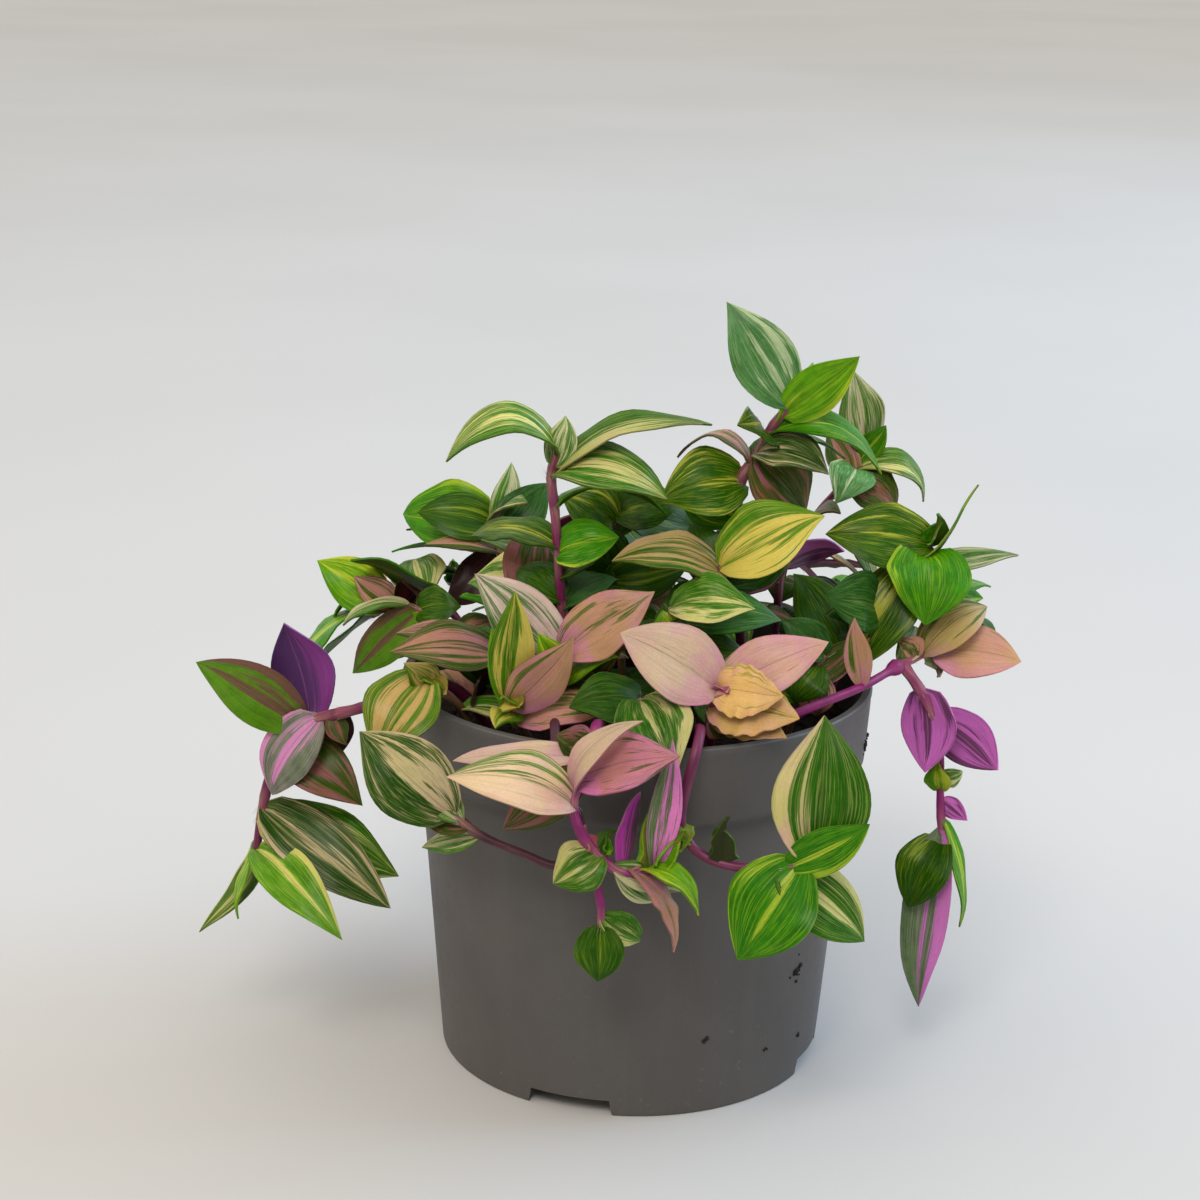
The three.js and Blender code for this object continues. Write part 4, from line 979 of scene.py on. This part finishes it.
def addStalk(bm, points, thickness, joints, colour):
    # a round tube drawn ring by ring along the stem, thicker at its joints and in the sheaths above them
    s = stalkShape
    path = evenPoints(points, s["fineStep"], s["fewest"])
    length = sum((end - start).length for start, end in zip(path, path[1:]))
    main = bm.verts.layers.float_color["stalkMain"]
    place = bm.verts.layers.float_color["stalkPlace"]
    sheath = bm.verts.layers.float["stalkSheath"]
    at = []
    for joint in joints:
        near = min(range(len(path)), key=lambda k: (path[k] - joint).length)
        at.append(near * length / (len(path) - 1))
    ring = bmesh.ops.create_circle(bm, segments=s["sides"], radius=1.0)["verts"]
    first, edges = list(ring), once(edge for vert in ring for edge in vert.link_edges)
    made = []
    before = Matrix.Identity(4)
    turn = (path[1] - path[0]).to_track_quat("Z", "Y")
    for k, spot in enumerate(path):
        ahead = (path[min(k + 1, len(path) - 1)] - path[max(k - 1, 0)]).normalized()
        turn = (turn @ Vector((0, 0, 1))).rotation_difference(ahead) @ turn
        travelled = length * k / (len(path) - 1)
        radius = thickness / 2 * (1 + (s["tipShare"] - 1) * travelled / length)
        inSheath = 0.0
        for joint in at:
            past = travelled - joint + s["sheathLength"]
            radius *= 1 + s["jointSwell"] * math.exp(-((past / s["jointLength"]) ** 2))
            if -s["sheathLength"] < travelled - joint < s["sheathEdge"]:
                inSheath = max(inSheath, past / s["sheathLength"])
        radius *= 1 + s["sheathSwell"] * min(inSheath * 2, 1)
        now = Matrix.Translation(spot * mm) @ turn.to_matrix().to_4x4() @ Matrix.Scale(radius * mm, 4)
        if k > 0:
            grown = bmesh.ops.extrude_edge_only(bm, edges=edges)["geom"]
            ring = [item for item in grown if isinstance(item, bmesh.types.BMVert)]
            edges = once(edge for vert in ring for edge in vert.link_edges if set(edge.verts) <= set(ring))
        bmesh.ops.transform(bm, matrix=now @ before.inverted(), verts=ring)
        inverse = now.inverted()
        for vert in ring:
            around = inverse @ vert.co
            vert[place] = (around.x, around.y, travelled, 1.0)
            vert[sheath] = min(inSheath, 1.0)
            vert[main] = colour
        made += ring
        before = now
    bmesh.ops.contextual_create(bm, geom=first)
    bmesh.ops.contextual_create(bm, geom=ring)
    bmesh.ops.recalc_face_normals(bm, faces=once(face for vert in made for face in vert.link_faces))


hairShape = {
    "each": 9, "length": (1.2, 2.6), "thickness": 0.09, "tip": 0.02, "outward": 0.55, "sunk": 0.2,
    "spineStep": 1,
}

hairSurface = {
    "sockets": {"Specular IOR Level": 0.3}, "spots": (700.0, 2.0, 0.5), "spotMark": (0.35, 0.65, 1.0),
    "pale": (214, 210, 196), "dull": (176, 160, 150), "roughness": 0.5, "spotRough": 0.2,
}


def makeHairFinish():
    s = hairSurface
    finish = Finish("fineHair", s)
    spots = finish.noise("spots", finish.here())
    colour = finish.stain(finish.paint("pale"), spots, "spotMark", "dull")
    finish.cover(colour, spots * s["spotRough"] + s["roughness"])
    return finish


def addHairs(bm, spine, joint, radius, draw):
    # a ring of fine hairs around the mouth of one sheath
    s = hairShape
    near = min(range(len(spine)), key=lambda k: (spine[k] - joint).length)
    ahead = (spine[min(near + 1, len(spine) - 1)] - spine[max(near - 1, 0)]).normalized()
    side = ahead.orthogonal().normalized()
    for i in range(s["each"]):
        out = Quaternion(ahead, draw.random() * math.tau) @ side
        way = (out * s["outward"] + ahead).normalized()
        length = draw.uniform(*s["length"])
        middle = spine[near] + out * radius + way * (length / 2 - s["sunk"])
        place = Matrix.Translation(middle * mm) @ way.to_track_quat("Z", "Y").to_matrix().to_4x4()
        bmesh.ops.create_cone(bm, cap_ends=True, segments=3, radius1=s["thickness"] / 2 * mm,
                              radius2=s["tip"] / 2 * mm, depth=length * mm, matrix=place)


budShape = {
    "second": 0.8,  # length of the second blade, as a share of the first
    "lift": 0.2, "uprightFace": (0, -1, 0.1), "arch": -0.6, "detail": 0.6, "shut": 0.9,
}


def addBud(bm, point, tip, width, look, draw):
    # two small blades, nearly shut, one round the other
    s = budShape
    for hand in (-1, 1):
        chord = Vector(tip) * (1.0 if hand < 0 else s["second"])
        leansOut = Vector((chord.x, chord.y, 0)).length > 1
        face = Vector((chord.y, -chord.x, s["lift"]) if leansOut else s["uprightFace"])
        bud = asLeaf(point, chord, width, face * hand, s["arch"])
        addLeaf(bm, bud, look, draw, s["detail"], s["shut"])


def treeOf(points):
    tree = kdtree.KDTree(len(points))
    for i, point in enumerate(points):
        tree.insert(point, i)
    tree.balance()
    return tree


leafFinish = makeLeafFinish()
stalkFinish = makeStalkFinish()
hairs = bmesh.new()


def growStem(name, plant):
    s = stalkShape
    corners = treeOf([vert.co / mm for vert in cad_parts[name].data.vertices])
    letters = sum(ord(letter) for letter in name)
    draw = random.Random(leafShape["seed"] + letters)
    root = [Vector((*plant["root"], height)) for height in s["heights"]]
    route = [Vector(point) for point in plant["route"]]
    lines = [(root + route, route, plant["thickness"])]
    for branch in plant.get("branches", []):
        shoot = [Vector(point) for point in branch["route"]]
        lines.append(([route[branch["from"]]] + shoot, shoot, branch["thickness"]))
    points, spines = [], []
    for line, shoots, thickness in lines:
        spine = evenPoints(line, s["step"])
        points += [(point, spine) for point in shoots]
        spines.append(evenPoints(line, s["spineStep"]))

    leaves = newLeaves()
    taken = [0] * len(points)
    joints = []
    shown = 0
    for place, tip, width, face, arch, look in plant["leaves"]:
        point, spine = points[place]
        base = placeOnSpine(spine, point, taken[place] * leafShape["spacing"])
        taken[place] += 1
        placed = packedLeaf(asLeaf(base, point + Vector(tip) - base, width, face, arch), corners)
        if placed is None:
            print("no solid for a leaf of", name)
            continue
        shown += 1
        if width >= s["jointWidth"]:
            joints.append(base)
        addLeaf(leaves, placed, look, draw)
    for place, tip, width, face, arch, look in plant.get("added", []):
        addLeaf(leaves, asLeaf(points[place][0], Vector(tip), width, face, arch), look, draw)
    for place, tip, width, look in plant.get("buds", []):
        addBud(leaves, points[place][0], tip, width, look, draw)

    stalk = newMesh(("stalkMain", "stalkPlace"), ("stalkSheath",))
    for line, shoots, thickness in lines:
        addStalk(stalk, line, thickness, joints, linear(*stalkColours[plant["stalk"]]))
    hairDraw = random.Random(len(joints) + letters)
    for joint in joints:
        nearest = min(range(len(lines)), key=lambda k: min((spot - joint).length for spot in spines[k]))
        line, shoots, thickness = lines[nearest]
        addHairs(hairs, evenPoints(line, hairShape["spineStep"]), joint, thickness * 0.5, hairDraw)
    stalkPiece = addPiece(name + "_stalk", stalk, stalkFinish, s["smooth"])
    leafPiece = addPiece(name + "_leaves", leaves, leafFinish, leafShape["smooth"])
    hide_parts(name)
    return {"shown": shown, "pieces": [stalkPiece, leafPiece], "spines": spines}


plants = {**shownStems, **{name: leaningStem(**values) for name, values in leaningStems.items()}}
stems = [growStem(name, plant) for name, plant in plants.items()]
addPiece("sheath_hairs", hairs, makeHairFinish())
print("stems grown:", len(stems), "with leaves:", sum(stem["shown"] for stem in stems))


# Smaller leaves inside the plant, low on the stems, where there is room between the others.
innerLeaves = {
    "every": 4, "lowest": 95, "highest": 138, "tries": 36, "room": 2.3, "rise": (-30, 48), "length": (15, 25),
    "widthShare": (0.5, 0.68), "arch": (1, 4), "faceOut": 0.2, "faceTurn": (-0.9, 0), "detail": 0.75,
    "checkAlong": (0.35, 0.6, 0.8, 1), "checkAcross": (-0.9, 0, 0.9),
    "left": -50, "right": 54, "front": -24, "back": 44, "top": 144, "bottom": 93,
    "rimTop": 105, "rimReach": 53, "seed": 71,
    "looks": ("deep", "deep", "deep", "blue", "blue", "fine", "fresh", "dusk", "striped", "brown", "rosy"),
    # marks of a leaf that the next ones keep away from
    "keepAlong": (0.25, 0.375, 0.5, 0.625, 0.75, 0.875, 1), "keepAcross": (-1, -0.5, 0, 0.5, 1),
}


def isInside(point):
    s = innerLeaves
    overRim = point.z > s["rimTop"]
    front = s["front"] if overRim else -s["rimReach"]
    inPlan = s["left"] < point.x < s["right"] and front < point.y < s["back"]
    inHeight = s["bottom"] < point.z < s["top"]
    return inPlan and inHeight and (overRim or math.hypot(point.x, point.y) < s["rimReach"])


def leafSpots(leaf, places, sides):
    return [solidPoint(leaf, along, across, 0) for along in places for across in sides]


def drawInnerLeaf(base, draw):
    s = innerLeaves
    way, rise = draw.random() * math.tau, math.radians(draw.uniform(*s["rise"]))
    length = draw.uniform(*s["length"])
    out = Vector((math.cos(way), math.sin(way), 0))
    chord = out * (length * math.cos(rise)) + Vector((0, 0, length * math.sin(rise)))
    face = out * s["faceOut"] + Vector((0, draw.uniform(*s["faceTurn"]), 1))
    return asLeaf(base, chord, length * draw.uniform(*s["widthShare"]), face, draw.uniform(*s["arch"]))


def addInnerLeaves():
    s = innerLeaves
    draw = random.Random(s["seed"])
    pieces = [piece for stem in stems for piece in stem["pieces"]]
    grown = treeOf([vert.co / mm for piece in pieces for vert in piece.data.vertices])
    added = [Vector((0, 0, -1000))]
    bm = newLeaves()
    count = 0
    for base in (base for stem in stems for spine in stem["spines"] for base in spine[::s["every"]]):
        if not (s["lowest"] < base.z < s["highest"] and isInside(base)):
            continue
        near = treeOf(added)
        best, widest = None, s["room"]
        for attempt in range(s["tries"]):
            leaf = drawInnerLeaf(base, draw)
            spots = leafSpots(leaf, s["checkAlong"], s["checkAcross"])
            if not all(isInside(spot) for spot in spots):
                continue
            room = min(min(grown.find(spot)[2], near.find(spot)[2]) for spot in spots)
            if room > widest:
                best, widest = leaf, room
        if best:
            addLeaf(bm, best, draw.choice(s["looks"]), draw, s["detail"])
            added += leafSpots(best, s["keepAlong"], s["keepAcross"])
            count += 1
    addPiece("inner_leaves", bm, leafFinish, leafShape["smooth"])
    return count


print("inner leaves added:", addInnerLeaves())


potShape = {
    "steps": 128, "smooth": 38, "notches": 4, "notchFoot": 23, "notchTop": 20.5, "notchHeight": 4.2,
    "notchBelow": -3, "notchTurn": -17, "notchDepth": 9, "footRadius": 49.5,
    "drains": 6, "drainRadius": 4, "drainRing": 35, "drainSides": 32, "drainMiddle": 5, "drainDepth": 14,
    # the outline from the middle of the foot, up the outer wall, over the rim and down inside
    "outline": (
        (0, 0), (17.6, 0), (18.4, 0.4), (22, 4.5), (46, 4.5), (46.6, 4.1), (47.2, 0.35), (47.6, 0),
        (49, 0), (49.45, 0.35), (50.9, 18), (52.3, 36), (53.7, 54), (54.8, 67.5), (55.55, 77.6),
        (55.75, 78.6), (56.3, 79.3), (58.1, 80.1), (58.75, 80.9), (58.85, 82), (59.2, 88), (59.6, 94),
        (59.78, 97.6), (59.95, 98.1), (60, 98.9), (59.95, 99.6), (59.6, 99.95), (58.1, 99.97),
        (57.72, 99.6), (57.6, 98.6), (57.35, 90), (57.2, 82.6), (56.6, 81.9), (54.5, 80.4), (54.2, 79.6),
        (53.3, 68), (48.2, 7), (47.5, 6.25), (46.8, 6.2), (21, 6.2), (17, 1.7), (0, 1.7),
    ),
    "wallPart": (8, 23),  # the points of the outline that are the outer wall
}

potSurface = {
    "sockets": {"Specular IOR Level": 0.42},
    "grain": (2600.0, 3.0, 0.6), "cloud": (26.0, 4.0, 0.55), "dust": (420.0, 4.0, 0.7),
    "flow": (1.0, 3.0, 0.6), "flowAround": 9.0, "flowUp": 14.0,
    "light": (82, 79, 77), "dark": (72, 70, 69), "cloudMark": (0.35, 0.7, 0.5),
    "worn": (98, 95, 91), "flowMark": (0.45, 0.7, 0.1),
    "dusty": (128, 118, 104), "dustMark": (0.6, 0.75, 1.0), "dustShare": 0.2, "lowDust": (0.05, 0.0, 0.3),
    "pores": (66, 64, 62), "grainMark": (0.4, 0.7, 0.18),
    "roughness": 0.5, "cloudRough": (0.3, 0.7, 0.12), "dustRough": (0.55, 0.7, 0.15),
    "grainRelief": 0.5, "flowRelief": 0.1, "bump": (0.22, 0.0002),
}


def makePotFinish():
    s = potSurface
    finish = Finish("mattePlastic", s)
    here = finish.here()
    x, y, z = finish.parts(here)
    grain, cloud, dust = (finish.noise(name, here) for name in ("grain", "cloud", "dust"))
    around = finish.math("ARCTAN2", x, y)
    flow = finish.noise("flow", finish.place(around * s["flowAround"], 0.0, z * s["flowUp"]))
    colour = finish.stain(finish.paint("light"), cloud, "cloudMark", "dark")
    colour = finish.stain(colour, flow, "flowMark", "worn")
    settled = finish.mark(dust, "dustMark") * (finish.mark(z, "lowDust") + s["dustShare"])
    colour = finish.mix(settled, colour, finish.paint("dusty"))
    colour = finish.stain(colour, grain, "grainMark", "pores")
    rough = finish.mark(cloud, "cloudRough") + finish.mark(dust, "dustRough") + s["roughness"]
    finish.cover(colour, rough, grain * s["grainRelief"] + flow * s["flowRelief"])
    return finish


def addPot():
    s = potShape
    pot = addPiece("pot_wall", addSpun(s["outline"], s["steps"]), makePotFinish())
    cuts = bmesh.new()
    for i in range(s["notches"]):
        cube = bmesh.ops.create_cube(cuts, size=1.0)["verts"]
        for vert in cube:
            width = s["notchTop"] if vert.co.z > 0 else s["notchFoot"]
            height = s["notchHeight"] if vert.co.z > 0 else s["notchBelow"]
            depth = vert.co.y * s["notchDepth"] - s["footRadius"]
            vert.co = (vert.co.x * width * mm, depth * mm, height * mm)
        turn = Matrix.Rotation(math.radians(s["notchTurn"] + 360 / s["notches"] * i), 3, "Z")
        bmesh.ops.rotate(cuts, cent=(0, 0, 0), matrix=turn, verts=cube)
    for i in range(s["drains"]):
        way = math.tau * (i + 0.5) / s["drains"]
        ring, radius = s["drainRing"] * mm, s["drainRadius"] * mm
        centre = (ring * math.cos(way), ring * math.sin(way), s["drainMiddle"] * mm)
        bmesh.ops.create_cone(cuts, cap_ends=True, segments=s["drainSides"], radius1=radius, radius2=radius,
                              depth=s["drainDepth"] * mm, matrix=Matrix.Translation(centre))
    cutter = addObject("potCuts", cuts)
    boolean = pot.modifiers.new("cuts", "BOOLEAN")
    boolean.operation = "DIFFERENCE"
    boolean.object = cutter
    boolean.solver = "EXACT"
    cut = bpy.data.meshes.new_from_object(pot.evaluated_get(bpy.context.evaluated_depsgraph_get()))
    pot.modifiers.clear()
    pot.data = cut
    cut.shade_smooth()
    cut.set_sharp_from_angle(angle=math.radians(s["smooth"]))
    bpy.data.objects.remove(cutter)
    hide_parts("pot")


addPot()
print("pot turned")


soilShape = {
    "steps": 72, "lumpFrom": 86, "lumps": ((1.0, 0.22), (0.6, 0.6)), "lump": 1.3, "seed": 23,
    "outline": (
        (0, 2), (16.7, 2), (20.7, 6.5), (47.7, 6.5), (53.9, 79.75), (56.7, 82.3), (57, 84.5),
        (56.6, 86.2), (54, 86.9), (50, 87.3), (46, 87.6), (42, 87.8), (38, 88), (34, 88.2), (30, 88.3),
        (26, 88.5), (22, 88.6), (18, 88.7), (14, 88.8), (10, 88.9), (6, 89), (3, 89), (0, 89),
    ),
    "crumbs": 300, "crumbSize": (0.7, 2.2), "crumbReach": 54, "crumbHeight": 88.9, "crumbDrop": 2.2,
    "dropReach": 56, "crumbTurn": 3, "crumbWidth": (0.6, 1), "crumbFlat": (0.45, 0.8),
}

soilSurface = {
    "sockets": {"Specular IOR Level": 0.25},
    "lumps": (330.0, 5.0, 0.7), "fibre": (900.0, 3.0, 0.6), "damp": (40.0, 2.0, 0.5),
    "dark": (22, 16, 12), "light": (58, 44, 33), "lumpMark": (0.35, 0.7, 1.0),
    "straw": (92, 72, 52), "fibreMark": (0.6, 0.75, 0.6), "wet": (16, 12, 10), "dampMark": (0.4, 0.6, 0.4),
    "roughness": 0.82, "dampRough": (0.4, 0.6, -0.2), "lumpRelief": 0.8, "fibreRelief": 0.4,
    "bump": (0.8, 0.0015),
}

# Specks of soil on the pot's wall: the way round from the right in degrees, the height, spread and count.
specks = {
    "wall": (
        (-36, 32, 1.3, 26), (-68, 20.5, 0.5, 3), (-47, 13, 0.5, 3), (-31, 12, 0.4, 2), (-12, 86, 1.5, 12),
    ),
    "size": (0.25, 0.75), "seed": 9,
}


def makeSoilFinish():
    s = soilSurface
    finish = Finish("peat", s)
    lumps, fibre, damp = (finish.noise(name, finish.here()) for name in ("lumps", "fibre", "damp"))
    colour = finish.stain(finish.paint("dark"), lumps, "lumpMark", "light")
    colour = finish.stain(colour, fibre, "fibreMark", "straw")
    colour = finish.stain(colour, damp, "dampMark", "wet")
    rough = finish.mark(damp, "dampRough") + s["roughness"]
    finish.cover(colour, rough, lumps * s["lumpRelief"] + fibre * s["fibreRelief"])
    return finish


def addSoil(finish):
    s = soilShape
    bm = addSpun(s["outline"], s["steps"])
    for vert in bm.verts:
        if vert.co.z > s["lumpFrom"] * mm:
            spot = vert.co / mm
            vert.co.z += s["lump"] * mm * sum(part * noise.noise(spot * rate) for part, rate in s["lumps"])
    soil = addPiece("soil_bed", bm, finish)
    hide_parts("soil")


def addCrumbs(finish):
    s = soilShape
    draw = random.Random(s["seed"])
    bm = bmesh.new()
    for i in range(s["crumbs"]):
        way, out = draw.random() * math.tau, s["crumbReach"] * math.sqrt(draw.random())
        size = draw.uniform(*s["crumbSize"]) * mm
        height = s["crumbHeight"] - s["crumbDrop"] * (out / s["dropReach"]) ** 2
        place = Vector((out * math.cos(way), out * math.sin(way), height)) * mm
        axis = (draw.uniform(-1, 1), draw.uniform(-1, 1), draw.uniform(-1, 1))
        turn = Quaternion(axis, draw.random() * s["crumbTurn"]).to_matrix().to_4x4()
        squash = Matrix.Diagonal((1, draw.uniform(*s["crumbWidth"]), draw.uniform(*s["crumbFlat"]), 1))
        matrix = Matrix.Translation(place) @ turn @ squash
        bmesh.ops.create_icosphere(bm, subdivisions=1, radius=size, matrix=matrix)
    addPiece("soil_crumbs", bm, finish)


def wallRadius(z):
    # how far the pot's outer wall stands from its axis at this height
    wall = potShape["outline"][slice(*potShape["wallPart"])]
    low, high = next((low, high) for low, high in zip(wall, wall[1:]) if low[1] <= z <= high[1])
    return low[0] + (high[0] - low[0]) * (z - low[1]) / (high[1] - low[1])


def addSpecks(finish):
    draw = random.Random(specks["seed"])
    bm = bmesh.new()
    for way, height, spread, count in specks["wall"]:
        for i in range(count):
            z = height + draw.gauss(0, spread)
            radius = wallRadius(z)
            turn = math.radians(way) + draw.gauss(0, spread) / radius
            size = draw.uniform(*specks["size"]) * mm
            place = Vector((radius * math.cos(turn), radius * math.sin(turn), z)) * mm
            bmesh.ops.create_icosphere(bm, subdivisions=1, radius=size, matrix=Matrix.Translation(place))
    addPiece("soil_specks", bm, finish)


soilFinish = makeSoilFinish()
addSoil(soilFinish)
addCrumbs(soilFinish)
addSpecks(soilFinish)
print("soil laid")


floorSurface = {
    "sockets": {"Specular IOR Level": 0.3}, "soft": (1.6, 3.0, 0.5), "fine": (900.0, 2.0, 0.5),
    "light": (192, 191, 190), "shade": (186, 185, 183), "softMark": (0.35, 0.65, 0.6), "fineShare": 0.15,
    "roughness": 0.62, "softRough": 0.1, "bump": (0.1, 0.0002),
}
floorSize = 24


def addFloor():
    s = floorSurface
    finish = Finish("paleFloor", s)
    soft, fine = (finish.noise(name, finish.here()) for name in ("soft", "fine"))
    share = finish.mark(soft, "softMark") + fine * s["fineShare"]
    colour = finish.mix(share, finish.paint("light"), finish.paint("shade"))
    finish.cover(colour, soft * s["softRough"] + s["roughness"], fine)
    bm = bmesh.new()
    bmesh.ops.create_grid(bm, x_segments=4, y_segments=4, size=floorSize / 2)
    addObject("floor", bm, finish)


addFloor()


# Each light: place, size, power and colour. They all look at the middle of the plant.
lights = {
    "windowRight": {"place": (2.3, 0.9, 1.4), "size": 1.7, "power": 62, "colour": (0.47, 0.7, 1.0)},
    "lampLeft": {"place": (-1.7, -0.4, 1.0), "size": 0.9, "power": 5, "colour": (1.0, 0.7, 0.44)},
    "softFront": {"place": (-0.25, -1.5, 1.7), "size": 0.8, "power": 21, "colour": (1.0, 0.96, 0.9)},
}
plantMiddle = Vector((0, 0, 0.09))
# The room glows from behind and from above, and is dimmer in front of the plant.
room = {
    "sockets": {}, "front": (0.54, 0.49, 0.43, 1.0), "back": (0.9, 0.88, 0.85, 1.0),
    "above": (1.15, 1.12, 1.05, 1.0), "backMark": (-0.7, 0.7, 1.0), "aboveMark": (0.25, 1.0, 1.0),
}


def addLights():
    for name, s in lights.items():
        light = bpy.data.lights.new(name, "AREA")
        light.size = s["size"]
        light.energy = s["power"]
        light.color = s["colour"]
        lamp = bpy.data.objects.new(name, light)
        lamp.location = s["place"]
        lamp.rotation_euler = (plantMiddle - lamp.location).to_track_quat("-Z", "Y").to_euler()
        bpy.context.scene.collection.objects.link(lamp)
    world = bpy.data.worlds.new("room")
    glow = Finish("room", room, world, "Background")
    x, y, z = glow.parts(glow.node("ShaderNodeTexCoord", {}, {})[0])
    level = glow.mix(glow.mark(y, "backMark"), room["front"], room["back"])
    glow.plug(glow.shader, "Color", glow.mix(glow.mark(z, "aboveMark"), level, room["above"]))
    bpy.context.scene.world = world
    bpy.context.scene.view_settings.view_transform = "Standard"


cameraShape = {
    "place": (0, -0.6, 0.294), "turn": -0.0165, "tilt": 0.284, "roll": 0.02, "focal": 73.89, "sensor": 36,
}


def addCamera():
    s = cameraShape
    level = Vector((math.cos(s["turn"]), -math.sin(s["turn"]), 0))
    flat = math.cos(s["tilt"])
    ahead = Vector((math.sin(s["turn"]) * flat, math.cos(s["turn"]) * flat, -math.sin(s["tilt"])))
    above = level.cross(ahead)
    right = level * math.cos(s["roll"]) + above * math.sin(s["roll"])
    up = above * math.cos(s["roll"]) - level * math.sin(s["roll"])
    view = bpy.data.cameras.new("camera")
    view.lens = s["focal"]
    view.sensor_width = s["sensor"]
    view.sensor_fit = "HORIZONTAL"
    view.clip_start = 0.01
    camera = bpy.data.objects.new("camera", view)
    camera.matrix_world = Matrix.Translation(s["place"]) @ Matrix((right, up, -ahead)).transposed().to_4x4()
    bpy.context.scene.collection.objects.link(camera)
    bpy.context.scene.camera = camera


addLights()
addCamera()
print("lights and camera set")
